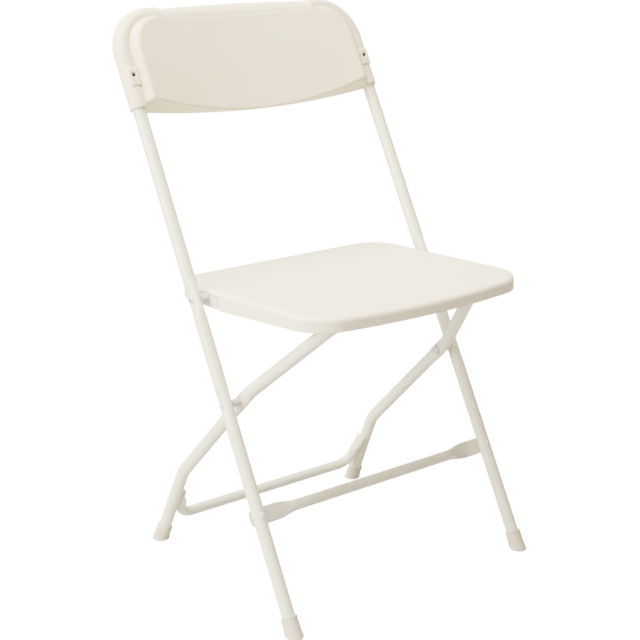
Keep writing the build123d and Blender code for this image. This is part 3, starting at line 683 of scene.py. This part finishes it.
# ---------------------------------------------------------------- feet
def foot_cap(name, centre, axis):
    """A moulded cap round a tube's lower end: a rounded sole edge, a slight flare and a bead at the mouth."""
    axis = axis.normalized()
    one = Vector((0, axis.z, -axis.y)).normalized()
    two = axis.cross(one)
    turns = [2 * math.pi * k / 56 for k in range(56)]
    mouth = foot_height + 1.0
    # radius, height above the sole, and how far the ring has turned square to the tube
    profile = [(0.0, 0.0, 0.0), (7.0, 0.0, 0.0), (10.2, 0.0, 0.0), (11.6, 0.35, 0.0), (12.6, 1.3, 0.0),
               (13.0, 2.8, 0.02), (12.8, 4.6, 0.08), (12.45, 6.5, 0.2), (12.3, 10.0, 0.45),
               (12.1, 15.0, 0.75), (11.85, 21.0, 0.95), (11.7, mouth - 3.4, 1.0), (11.95, mouth - 2.6, 1.0),
               (12.05, mouth - 1.4, 1.0), (11.8, mouth - 0.5, 1.0), (11.2, mouth, 1.0),
               (10.2, mouth - 0.2, 1.0), (tube_radius + 0.1, mouth - 0.9, 1.0),
               (tube_radius - 0.4, mouth - 4, 1.0)]
    loops = []
    for radius, height, square in profile:
        loop = []
        for turn in turns:
            spoke = (one * math.cos(turn) + two * math.sin(turn)) * radius
            on_floor = -spoke.z / axis.z
            loop.append(centre + spoke + axis * (height + on_floor * (1 - square)))
        loops.append(loop)
    return rings(name, loops, cap_last=True)


for side, name in SIDES:
    place(foot_cap(f"front_foot_cap_{name}", on_tube(0, side * tube_x(0)),
                   on_tube(1, side * tube_x(1)) - on_tube(0, side * tube_x(0))),
          "frame", foot_plastic, "foot_plastic", f"front_foot_{name}")
    foot, bend, _ = leg_ends(side)
    place(foot_cap(f"rear_foot_cap_{name}", foot, bend - foot),
          "rear_legs", foot_plastic, "foot_plastic", f"rear_foot_{name}")

# ---------------------------------------------------------------- front crossbar
bar_end = node_box("front_crossbar")[1].x
plate_behind = -tube_radius - crossbar_plate / 2


def crossbar_loop(x):
    """The crossbar's outline at x: round in the middle, pressed flat at the ends."""
    flat = np.clip((abs(x) - crossbar_neck_start) / (crossbar_flat_start - crossbar_neck_start), 0, 1)
    flat = flat * flat * (3 - 2 * flat)
    thick = crossbar_radius + (crossbar_plate / 2 - crossbar_radius) * flat
    tall = crossbar_radius + (crossbar_flat_half - crossbar_radius) * flat
    past = max(0.0, abs(x) - (bar_end - crossbar_end_round)) / crossbar_end_round
    tall -= crossbar_end_round * (1 - math.sqrt(max(0.0, 1 - past * past)))
    power = 2 / (2 + 1.6 * flat)
    loop = []
    for k in range(48):
        turn = 2 * math.pi * k / 48
        c, s = math.cos(turn), math.sin(turn)
        loop.append(on_tube(crossbar_at + tall * math.copysign(abs(s) ** power, s), x,
                            plate_behind + thick * math.copysign(abs(c) ** power, c)))
    return loop


# from the middle to one end: wide steps, close ones on the neck and at the rounded end
stations = [k * 4.0 for k in range(37)] + [crossbar_neck_start + k * 1.2 for k in range(1, 30)]
stations += [184.0, 190.0, 200.0, 210.0, bar_end - crossbar_end_round]
stations += [bar_end - crossbar_end_round * (1 - math.sin(math.radians(k))) for k in (15, 30, 45, 60, 75, 86)]
stations = [-x for x in reversed(stations[1:])] + stations
crossbar = rings("crossbar", [crossbar_loop(x) for x in stations], True, True)
place(crossbar, "frame", tube_paint, "frame_tube", "front_crossbar")


# ---------------------------------------------------------------- rivets, spacers and washers
def dome(radius, height):
    """Profile of a round rivet head that stands on height 0."""
    return [(0.0, height), (radius * 0.35, height * 0.95), (radius * 0.65, height * 0.76),
            (radius * 0.86, height * 0.46), (radius * 0.98, height * 0.15), (radius, 0.0),
            (radius * 0.97, -0.5), (0.0, -0.5)]


def rolled(radius, height, hole, depth):
    """Profile of a tubular rivet's rolled head, open in the middle."""
    return [(0.0, -depth), (hole * 0.8, -depth), (hole, -depth * 0.6), (hole, height * 0.3),
            (hole * 1.12, height * 0.78), (hole * 1.4, height), (radius * 0.78, height * 0.9),
            (radius * 0.95, height * 0.5), (radius, 0.0), (radius * 0.96, -0.5), (hole * 1.2, -depth - 0.6),
            (0.0, -depth - 0.6)]


def rivet_heads(name, profile, places, node):
    """The painted heads of a pair of rivets."""
    head = turned(name + "_head", profile)
    place(heads(name, head, places, rivet_paint), "frame", rivet_paint, "rivet", node)


def on_both(s, x, facing=1):
    """Places at s along the tubes and x out from the middle, facing outwards or inwards."""
    return [(on_tube(s, side * x), ACROSS * side * facing) for side, _ in SIDES]


head_sunk = 0.1
washer_thickness = 1.4
washer_face = leg_x - rear_face - washer_thickness
crossbar_faces = ((tube_radius - 0.5, 1), (-tube_radius - crossbar_plate, -1))
rivet_heads("crossbar_rivet_heads", dome(5.0, 2.2),
            [(on_tube(crossbar_at, side * tube_x(crossbar_at), off), ahead * facing)
             for side, _ in SIDES for off, facing in crossbar_faces], "crossbar_rivets")
seat_rivet_places = on_both(seat_at, tube_x(seat_at) + seat_face - head_sunk)
# the seat pivot rivets' bores get near-black bottoms: painted shade
place(bores("seat_rivet_bores", seat_rivet_places, 2.5, 0.35), "frame", bore_shadow, "rivet")
rivet_heads("seat_pivot_rivet_heads", rolled(5.4, 1.9, 2.3, 2.6), seat_rivet_places, "seat_pivot_rivets")
rivet_heads("leg_pivot_rivet_heads", rolled(4.6, 1.7, 1.7, 2.2),
            on_both(leg_at, tube_x(leg_at) + leg_face - head_sunk) + on_both(leg_at, washer_face, -1),
            "leg_pivot_rivets")


def ring_pair(name, low, high, radius, hole, at):
    """A pair of plain rings with eased edges between two distances from the middle."""
    ease = 0.4
    profile = [(hole, 0), (radius - ease, 0), (radius, ease), (radius, high - low - ease),
               (radius - ease, high - low), (hole, high - low), (hole, 0)]
    return join(name, [lathe(f"{name}_{end_name}", profile, on_tube(at, side * low), ACROSS * side)
                       for side, end_name in SIDES])


place(ring_pair("leg_spacers", leg_x + rear_face, tube_x(leg_at) - leg_face, 5.6, 3.4, leg_at),
      "frame", nylon, "spacer_nylon", "leg_pivot_spacers")
place(ring_pair("leg_washers", washer_face, leg_x - rear_face, 7.5, 3.4, leg_at),
      "frame", zinc, "bracket_steel", "leg_pivot_washers")
place(ring_pair("seat_spacers", seat_half + 0.3, tube_x(seat_at) - seat_face, 7.0, 4.0, seat_at),
      "frame", nylon, "spacer_nylon", "seat_pivot_spacers")

# ---------------------------------------------------------------- seat
seat_ahead = Vector((0, -math.cos(seat_tilt), math.sin(seat_tilt)))
seat_up = Vector((0, math.sin(seat_tilt), math.cos(seat_tilt)))
seat_turn = Matrix((ACROSS, -seat_ahead, seat_up)).transposed().to_euler()      # local y runs backwards


def in_seat(x, u, w):
    """Points given across, forward of the pivot and above it, in the chair's frame."""
    x, u, w = np.broadcast_arrays(np.asarray(x, float), u, w)
    base = np.array(seat_pivot)
    return (base + x[..., None] * np.array(ACROSS) + u[..., None] * np.array(seat_ahead)
            + w[..., None] * np.array(seat_up))


def front_edge(x):
    """The bowed front edge before its corners are rounded."""
    return seat_forward - seat_bow * (x / seat_half) ** 2


def right_half_outline():
    """The right half of the seat's plan from the middle of the rear edge to the middle of the front."""
    corner = np.linspace(-math.pi / 2, 0, 60)
    rear = np.stack([seat_half - seat_rear_corner + seat_rear_corner * np.cos(corner),
                     -seat_rearward + seat_rear_corner + seat_rear_corner * np.sin(corner)], 1)
    across = np.linspace(0, seat_half, 4000)
    edge = np.stack([across, front_edge(across)], 1)
    centre = np.array([seat_half - seat_front_corner, 0.0])
    low, high = seat_forward - 2 * seat_front_corner, seat_forward
    for _ in range(50):
        centre[1] = (low + high) / 2
        gap = np.hypot(*(edge - centre).T).min()
        low, high = (centre[1], high) if gap > seat_front_corner else (low, centre[1])
    touch = edge[np.hypot(*(edge - centre).T).argmin()]
    last = math.atan2(touch[1] - centre[1], touch[0] - centre[0])
    turn = np.linspace(0, last, 70)
    front_round = centre + seat_front_corner * np.stack([np.cos(turn), np.sin(turn)], 1)
    rear_run = np.stack([np.linspace(0, rear[0, 0], 60)[:-1], np.full(59, -seat_rearward)], 1)
    side_run = np.stack([np.full(80, seat_half), np.linspace(rear[-1, 1], centre[1], 82)[1:-1]], 1)
    front_x = np.linspace(touch[0], 0, 80)[1:]
    front_run = np.stack([front_x, front_edge(front_x)], 1)
    return np.concatenate([rear_run, rear, side_run, front_round, front_run])


half_outline = right_half_outline()
outline = np.concatenate([half_outline, (half_outline * (-1, 1))[-2:0:-1]])
closed = np.vstack([outline, outline[:1]])
outline_run = np.concatenate([[0], np.cumsum(np.hypot(*np.diff(closed, axis=0).T))])
seat_middle = np.array([0.0, (seat_forward - seat_rearward) / 2])


def outline_at(run):
    """Points on the outline at given distances along it."""
    run = np.mod(run, outline_run[-1])
    return np.stack([np.interp(run, outline_run, closed[:, k]) for k in (0, 1)], -1)


def run_at(x, u):
    """Distance along the outline of the point nearest to (x, u)."""
    return outline_run[np.hypot(closed[:, 0] - x, closed[:, 1] - u).argmin()]


# the quad grid's corners lie in the middle of the seat's rounded corners
rear_mark = run_at(seat_half - 0.29 * seat_rear_corner, -seat_rearward + 0.29 * seat_rear_corner)
front_mark = run_at(seat_half - 0.29 * seat_front_corner, seat_forward - seat_bow - 0.2 * seat_front_corner)
whole_run = outline_run[-1]
grid_marks = [rear_mark, front_mark, whole_run - front_mark, whole_run - rear_mark, whole_run + rear_mark]


def ring_runs(count):
    """Distances along the outline of count points per side of the square grid."""
    steps = np.arange(count) / count
    return np.concatenate([a + (b - a) * steps for a, b in zip(grid_marks, grid_marks[1:])])


base_runs = ring_runs(2 * grid_half)
base = outline_at(base_runs)
tangent = outline_at(base_runs + 1.0) - outline_at(base_runs - 1.0)
tangent = tangent / np.hypot(*tangent.T)[:, None]
outward = np.stack([tangent[:, 1], -tangent[:, 0]], 1)


def fall(u):
    """How much lower the top lies towards the front edge."""
    t = np.clip((u - (seat_forward - seat_fall_run)) / seat_fall_run, 0, 1)
    return seat_fall * t * t


def skirt_low(x, u):
    """Height of the skirt's lower edge round the seat."""
    side_edge = np.interp(u, [-seat_rearward, -window_rear, window_front, 190.0, 230.0],
                          [skirt_rear, skirt_deep, skirt_deep, skirt_front, skirt_front])
    at_back = np.clip((-u - 60) / 8, 0, 1) * np.clip((190 - np.abs(x)) / 10, 0, 1)
    at_back = at_back * at_back * (3 - 2 * at_back)
    return side_edge + (skirt_relief - side_edge) * at_back


def seat_loop(inset, height):
    """A ring round the seat, inset from its outline, at a height given as numbers or per point."""
    plan = base - outward * inset
    return in_seat(plan[:, 0], plan[:, 1], height)


lower_edge = skirt_low(*base.T)
rolled_down = fall(base[:, 1])
under_edge = seat_rim - seat_skin - rolled_down
loops = []
for depth, inset in ((0.0, seat_wall - 0.9), (0.0, 0.9), (0.25, 0.3), (0.9, 0.0)):
    loops.append(seat_loop(inset, lower_edge + depth))
wall_top = seat_rim - seat_edge - rolled_down
for part in np.linspace(0.12, 1.0, 7):
    loops.append(seat_loop(0.0, lower_edge + 0.9 + (wall_top - lower_edge - 0.9) * part))
for turn in np.radians(np.arange(10, 91, 10)):
    loops.append(seat_loop(seat_edge * (1 - math.cos(turn)), wall_top + seat_edge * math.sin(turn)))
loops.append(seat_loop(rim_inset, seat_rim - rolled_down - rim_sink))
under = [(seat_wall - 0.3, lower_edge + 0.25), (seat_wall, lower_edge + 0.9)]
under += [(seat_wall, lower_edge + 0.9 + (under_edge - 3 - lower_edge - 0.9) * p) for p in (0.3, 0.65, 1.0)]
under += [(seat_wall + 3 * (1 - math.cos(t)), under_edge - 3 + 3 * math.sin(t))
          for t in np.radians((30, 60, 90))]
under += [(rim_inset, under_edge - rim_sink)]


def grid_rows(skin):
    """Points of the square grid inside the rings, from its edge ring to the middle."""
    edge = base - outward * grid_inset
    edge = np.vstack([edge, edge[:1]])
    edge_runs = np.append(base_runs, base_runs[0] + outline_run[-1])
    top = seat_rim - skin - grid_sink
    rows = []
    for m in range(grid_half, 0, -1):
        share = m / grid_half
        ring = np.stack([np.interp(ring_runs(2 * m), edge_runs, edge[:, k]) for k in (0, 1)])
        x, u = seat_middle[:, None] + (ring - seat_middle[:, None]) * share
        rows.append(in_seat(x, u, top - fall(u) - seat_dish * (1 - share * share) ** 1.5))
    rows.append(in_seat([seat_middle[0]], [seat_middle[1]], top - seat_dish))
    return rows


def grid_faces(first, turned):
    """Faces of the square grid whose rows start at point number first."""
    starts, at = [], first
    for m in range(grid_half, -1, -1):
        starts.append(at)
        at += max(8 * m, 1)
    faces = []
    for row, m in enumerate(range(grid_half, 0, -1)):
        outer, inner = starts[row], starts[row + 1]
        inner_count = max(8 * (m - 1), 1)
        for side in range(4):
            for k in range(2 * m):
                a = outer + side * 2 * m + k
                b = outer + (side * 2 * m + k + 1) % (8 * m)
                low = inner + (side * 2 * (m - 1) + min(max(k - 1, 0), 2 * (m - 1))) % inner_count
                high = inner + (side * 2 * (m - 1) + min(max(k, 0), 2 * (m - 1))) % inner_count
                face = [a, b, high, low] if high != low else [a, b, high]
                faces.append(tuple(reversed(face)) if turned else tuple(face))
    return faces, at


def ring_faces(first, second, turned=False):
    """Quads between two rings round the seat whose points start at these numbers."""
    count = len(base)
    quads = [(first + k, first + (k + 1) % count, second + (k + 1) % count, second + k) for k in range(count)]
    return [(a, d, c, b) for a, b, c, d in quads] if turned else quads


# outside: up the wall, over the edge and across the top
starts = [row * len(base) for row in range(len(loops) + 1)]
faces = [quad for first, second in zip(starts, starts[1:]) for quad in ring_faces(first, second)]
top_faces, under_first = grid_faces(starts[-1], False)
faces += top_faces
points = loops + grid_rows(0.0)
# inside: from the wall's lower edge up and across under the top
points += [seat_loop(inset, height) for inset, height in under]
starts = [0] + [under_first + row * len(base) for row in range(len(under) + 1)]
faces += [quad for first, second in zip(starts, starts[1:]) for quad in ring_faces(first, second, True)]
faces += grid_faces(starts[-1], True)[0]
points += grid_rows(seat_skin)
seat = mesh_object("seat_moulding", np.concatenate(points), faces, sharp=50)


def window_half(edge, inwards):
    """Half of a window's outline: from below the skirt, in round the flare and up to its top."""
    foot = edge - inwards * window_flare
    half = [(foot, skirt_deep - 3), (foot, skirt_deep - 0.01)]
    half += [(foot + inwards * window_flare * math.sin(t), skirt_deep + window_flare * (1 - math.cos(t)))
             for t in np.radians(np.arange(15, 91, 15))]
    return half + [(edge + inwards * window_round * (1 - math.cos(t)),
                    window_top - window_round * (1 - math.sin(t))) for t in np.radians(np.arange(0, 91, 18))]


def window_cutter(side):
    """The opening in the skirt beside a pivot, flared where it meets the skirt's lower edge."""
    u, w = np.array(window_half(-window_rear, 1) + window_half(window_front, -1)[::-1]).T
    loops = [in_seat(side * x, u, w) for x in (seat_half - 6, seat_half + 4)]
    return rings("window_cutter", loops, True, True)


for side, name in SIDES:
    cut(seat, window_cutter(side), 50)
place(seat, "seat", ivory_seat, "seat_plastic", "seat_panel")

# ribs under the seat, between the tracks and the side brackets
rib_thickness = 2.2
rib_low = 3.0
rib_high = 9.0
rib_back, rib_front = -86.0, 218.0
rib_rows = [((rib_thickness, rib_front - rib_back, rib_high - rib_low),
             (x0, -(rib_back + rib_front) / 2, (rib_low + rib_high) / 2), (20, 0, 0), 3)
            for x0 in (-145, -20, 105)]
rib_rows += [((length, rib_thickness, rib_high - rib_low),
              (x0, -rib_back - 14, (rib_low + rib_high) / 2), (0, -46, 0), 7)
             for x0, length in ((0, 78), (-122, 80), (122, 80))]
ribs = []
for number, (size, start, pitch, amount) in enumerate(rib_rows):
    row = mesh_object(f"ribs_{number}", [(0, 0, 0)], [])
    attach(row, rib_row, Size=Vector(size) * MM, Start=Vector(start) * MM, Pitch=Vector(pitch) * MM,
           Count=amount, Origin=seat_pivot * MM, Turn=seat_turn, Upwards=seat_up, Shell=seat, Sink=1.5 * MM,
           Below=10 * MM, Finish=ivory_seat)
    ribs.append(settle(row))
place(join("seat_ribs", ribs), "seat", ivory_seat, "seat_plastic")


# ---------------------------------------------------------------- back panel
def smooth_max(a, b, blend):
    """The larger of two, eased over a distance."""
    h = np.maximum(blend - np.abs(a - b), 0) / blend
    return np.maximum(a, b) + h * h * blend / 4


def smooth_min(a, b, blend):
    return -smooth_max(-a, -b, blend)


sleeve_x = tube_x(pad_at)
pad_front = sleeve_radius + pad_rise
screw_seat = pad_front - panel_screw_recess


def rolled_top(q, s, off, face):
    """Distance from the arc that runs from the face's upper edge up and back to the panel's top."""
    crown = roll_radius - back_face
    top = panel_top - panel_top_bow * (q / sleeve_end) ** 2
    wide, tall = face - roll_ledge - crown, top - face_top
    chord = np.hypot(wide, tall)
    rise = (2 * roll_bulge - 1) * wide * tall / chord
    radius = (chord ** 2 / 4 + rise ** 2) / (2 * rise)
    away = (radius - rise) / chord
    arc = np.hypot(off - crown - wide / 2 + tall * away, s - face_top - tall / 2 + wide * away) - radius
    return smooth_max(arc, s - top, 1.0)


def back_shape(x, s, off):
    """Distance from the back panel's surface, negative inside. s is up the tubes, off in front of them."""
    q = np.abs(x)
    to_side = np.minimum(q / face_half, 1.0) ** 2
    face = face_forward - face_hollow * (1 - to_side)
    front = off - face
    back = -back_face - off
    # underside: from the face's lower edge back to the rear face's lower edge
    low_front = face_low - face_low_bow * (1 - to_side)
    low_back = back_low - back_low_bow * (1 - (q / sleeve_x) ** 2)
    run, drop = face + back_face, low_front - low_back
    under_side = (-(s - low_back) * run + (off + back_face) * drop) / np.hypot(run, drop)
    # the face's outline, and the wall that slopes outwards from it
    past_x = np.maximum(q - (face_half - face_corner), 0)
    past_s = np.maximum(s - (face_top - face_corner), 0)
    edge = np.hypot(past_x, past_s) - face_corner
    wall = edge * face_wall_slope + front * math.sqrt(1 - face_wall_slope ** 2)
    plate = smooth_max(smooth_max(front, wall, 2.4), back, 4.0)
    plate = smooth_max(smooth_max(plate, edge - face_wall_width, 2.0), under_side, 2.4)
    # sleeves round the tubes, which turn in along the top, and the slab that joins them
    centre_x, centre_s = sleeve_x - sleeve_bend, sleeve_top - sleeve_radius - sleeve_bend
    inside = np.hypot(np.maximum(q - centre_x, 0), np.maximum(s - centre_s, 0)) - sleeve_bend
    slab = smooth_max(smooth_max(back, off - 2.0, 1.0), np.maximum(inside, under_side), 2.0)
    sleeve = np.hypot(inside, off) - sleeve_radius
    sleeve = smooth_max(smooth_max(sleeve, sleeve_low - s, 1.2), sleeve_end - q, 1.8)
    # the rolled top between the sleeves' ends
    roll = smooth_max(rolled_top(q, s, off, face), back, 9.0)
    roll = np.maximum(np.maximum(roll, front + roll_ledge), q - sleeve_end - 3.0)
    roll = np.maximum(roll, face_top - 12.0 - s)
    shape = smooth_min(smooth_min(plate, roll, 0.8), smooth_min(slab, sleeve, 3.0), 2.5)
    # raised pads on the sleeves, with a hole for the screw
    pad = smooth_max(np.abs(q - sleeve_x) - pad_half_width, np.abs(s - pad_at) - pad_half_height, 2.0)
    pad = smooth_max(smooth_max(pad, off - pad_front, 1.0), -off, 1.0)
    shape = smooth_min(shape, pad, 0.8)
    hole = np.hypot(q - tube_x(panel_screw_at), s - panel_screw_at) - panel_screw_head - 0.4
    shape = smooth_max(shape, -np.maximum(hole, screw_seat - off), 0.8)
    socket = np.hypot(q - tube_x(s), off) - tube_radius - socket_gap
    return smooth_max(shape, -np.maximum(socket, s - socket_end), 0.8)


def skin(shape, low, high, step):
    """Points and quads over the surface where shape is zero, pulled exactly onto it."""
    axes = [np.arange(a, b + step, step) for a, b in zip(low, high)]
    values = shape(*np.meshgrid(*axes, indexing="ij"))
    inside = values < 0
    corners = [np.array((a, b, c)) for a in (0, 1) for b in (0, 1) for c in (0, 1)]
    sizes = np.array(values.shape) - 1
    filled = sum(inside[a:a + sizes[0], b:b + sizes[1], c:c + sizes[2]].astype(int) for a, b, c in corners)
    active = (filled > 0) & (filled < 8)
    number = np.full(active.shape, -1)
    number[active] = np.arange(active.sum())
    cells = np.argwhere(active)
    total, hits = np.zeros((len(cells), 3)), np.zeros(len(cells))
    for a in corners:
        for b in corners:
            if (b - a).sum() == 1 and (b - a).min() == 0:
                value_a, value_b = values[tuple((cells + a).T)], values[tuple((cells + b).T)]
                crossed = (value_a < 0) != (value_b < 0)
                share = value_a[crossed] / (value_a[crossed] - value_b[crossed])
                total[crossed] += cells[crossed] + a + share[:, None] * (b - a)
                hits[crossed] += 1
    found = np.array(low) + step * total / hits[:, None]
    for _ in range(4):
        height = shape(*found.T)
        slope = np.stack([(shape(*(found + d).T) - shape(*(found - d).T)) / 0.2 for d in np.eye(3) * 0.1], 1)
        move = slope * (height / np.maximum((slope ** 2).sum(1), 0.05))[:, None]
        size = np.linalg.norm(move, axis=1, keepdims=True)
        found -= move * np.minimum(1, 0.5 * step / np.maximum(size, 1e-9))
    quads = []
    for axis in range(3):
        one, two = (np.eye(3, dtype=int)[k] for k in range(3) if k != axis)
        step_on = np.eye(3, dtype=int)[axis]
        ends = [slice(1, -1) if k != axis else slice(0, -1) for k in range(3)]
        nexts = [slice(1, -1) if k != axis else slice(1, None) for k in range(3)]
        change = inside[tuple(ends)] != inside[tuple(nexts)]
        nodes = np.argwhere(change) + 1 - step_on
        around = [nodes, nodes - one, nodes - one - two, nodes - two]
        quads.append(np.stack([number[tuple(cell.T)] for cell in around], 1))
    return found, np.concatenate(quads)


back_points, back_quads = skin(back_shape, (-232, 745, -20), (232, 938, 30), panel_step)
back_world = np.array(sole) + back_points @ np.array((ACROSS, up_tube, ahead))
back = mesh_object("back_moulding", back_world, back_quads.tolist(), sharp=75)
place(back, "frame", ivory_back, "back_plastic", "back_panel")


def cross_head(name, radius, height):
    """A rounded screw head with a cross recess, standing on height 0."""
    head = turned(name, [(0.0, height), (radius * 0.45, height * 0.97), (radius * 0.8, height * 0.78),
                         (radius * 0.96, height * 0.4), (radius, 0.0), (radius * 0.94, -0.4), (0.0, -0.4)])
    for wide, deep in ((radius * 0.56, radius * 0.12), (radius * 0.12, radius * 0.56)):
        corners = ((-wide, -deep), (wide, -deep), (wide, deep), (-wide, deep))
        loops = [[(x * scale, y * scale, z) for x, y in corners]
                 for z, scale in ((height * 0.2, 0.6), (height + 1.0, 1.1))]
        cut(head, rings("slot", loops, True, True), 30)
    return head


screw_x = tube_x(panel_screw_at)
screw_places = [(on_tube(panel_screw_at, side * screw_x, screw_seat), ahead) for side, _ in SIDES]
screws = heads("back_screws", cross_head("back_screw_head", panel_screw_head, 1.6), screw_places, dark_screw)
place(screws, "frame", dark_screw, "screw_steel", "back_panel_screws")

# ---------------------------------------------------------------- nodes that keep their own shape
kept_nodes = [("bracket_screws", zinc), ("track_screws", zinc)]
for _, name in SIDES:
    kept_nodes += [(f"seat_bracket_{name}", bracket_paint), (f"seat_track_{name}", bracket_paint),
                   (f"glide_{name}", nylon)]
for node, material in kept_nodes:
    for slot in frame["nodes"][node].material_slots:
        slot.material = material

# ---------------------------------------------------------------- floor, light and camera
world_strength = 0.46
key_power = 370.0
top_power = 430.0
front_power = 5.0
backdrop_strength = 16.0
warm_light = (1.0, 0.925, 0.77)


def white_to_camera(owner, lit_name, glow_kind, output):
    """Show the camera an even white where the other rays meet the lit floor or the dim sky."""
    nodes, links = owner.node_tree.nodes, owner.node_tree.links
    glow = nodes.new(glow_kind)
    glow.inputs["Strength"].default_value = backdrop_strength
    either = nodes.new("ShaderNodeMixShader")
    links.new(nodes.new("ShaderNodeLightPath").outputs["Is Camera Ray"], either.inputs[0])
    links.new(nodes[lit_name].outputs[0], either.inputs[1])
    links.new(glow.outputs[0], either.inputs[2])
    links.new(either.outputs[0], nodes[output].inputs["Surface"])


pale_floor = Finish("pale_floor", Base_Color=(0.45, 0.45, 0.45, 1), Roughness=0.75).material
white_to_camera(pale_floor, "Principled BSDF", "ShaderNodeEmission", "Material Output")
floor_half = 12000.0
floor_level = -0.3
floor_corners = [(x * floor_half, y * floor_half, floor_level)
                 for x, y in ((-1, -1), (1, -1), (1, 1), (-1, 1))]
floor = mesh_object("floor", floor_corners, [(0, 1, 2, 3)])
floor.data.materials.append(pale_floor)

world = bpy.data.worlds.new("studio")
world.use_nodes = True
dim_sky = world.node_tree.nodes["Background"].inputs
dim_sky["Color"].default_value = (*warm_light, 1)
dim_sky["Strength"].default_value = world_strength
white_to_camera(world, "Background", "ShaderNodeBackground", "World Output")
bpy.context.scene.world = world


def area_light(name, where, aim, size, power):
    """A soft square lamp that looks at a point; places in metres, power in watts."""
    lamp = bpy.data.lights.new(name, "AREA")
    lamp.shape = "SQUARE"
    lamp.size = size
    lamp.energy = power
    lamp.color = warm_light
    obj = link(bpy.data.objects.new(name, lamp))
    obj.location = where
    obj.rotation_mode = "QUATERNION"
    obj.rotation_quaternion = (Vector(aim) - Vector(where)).to_track_quat("-Z", "Y")
    return obj


area_light("key_light", (-2.8, 0.2, 1.5), (0, 0, 0.5), 1.6, key_power)
area_light("top_light", (-0.4, 0.3, 3.0), (0, 0, 0.4), 1.8, top_power)
area_light("front_fill", (0.9, -2.8, 1.6), (0, 0, 0.45), 2.2, front_power)

camera_azimuth = math.radians(-38.49)
camera_elevation = math.radians(16.784)
camera = bpy.data.cameras.new("camera")
camera.sensor_width = 36.0
camera.lens = 78.88
camera.clip_end = 100.0
viewer = link(bpy.data.objects.new("camera", camera))
viewer.location = Vector((-1.2640, sole.y * MM - 1.3690, 0.9747))
backwards = Vector((math.sin(camera_azimuth) * math.cos(camera_elevation),
                    -math.cos(camera_azimuth) * math.cos(camera_elevation), math.sin(camera_elevation)))
viewer.rotation_mode = "QUATERNION"
viewer.rotation_quaternion = (-backwards).to_track_quat("-Z", "Y")
bpy.context.scene.camera = viewer
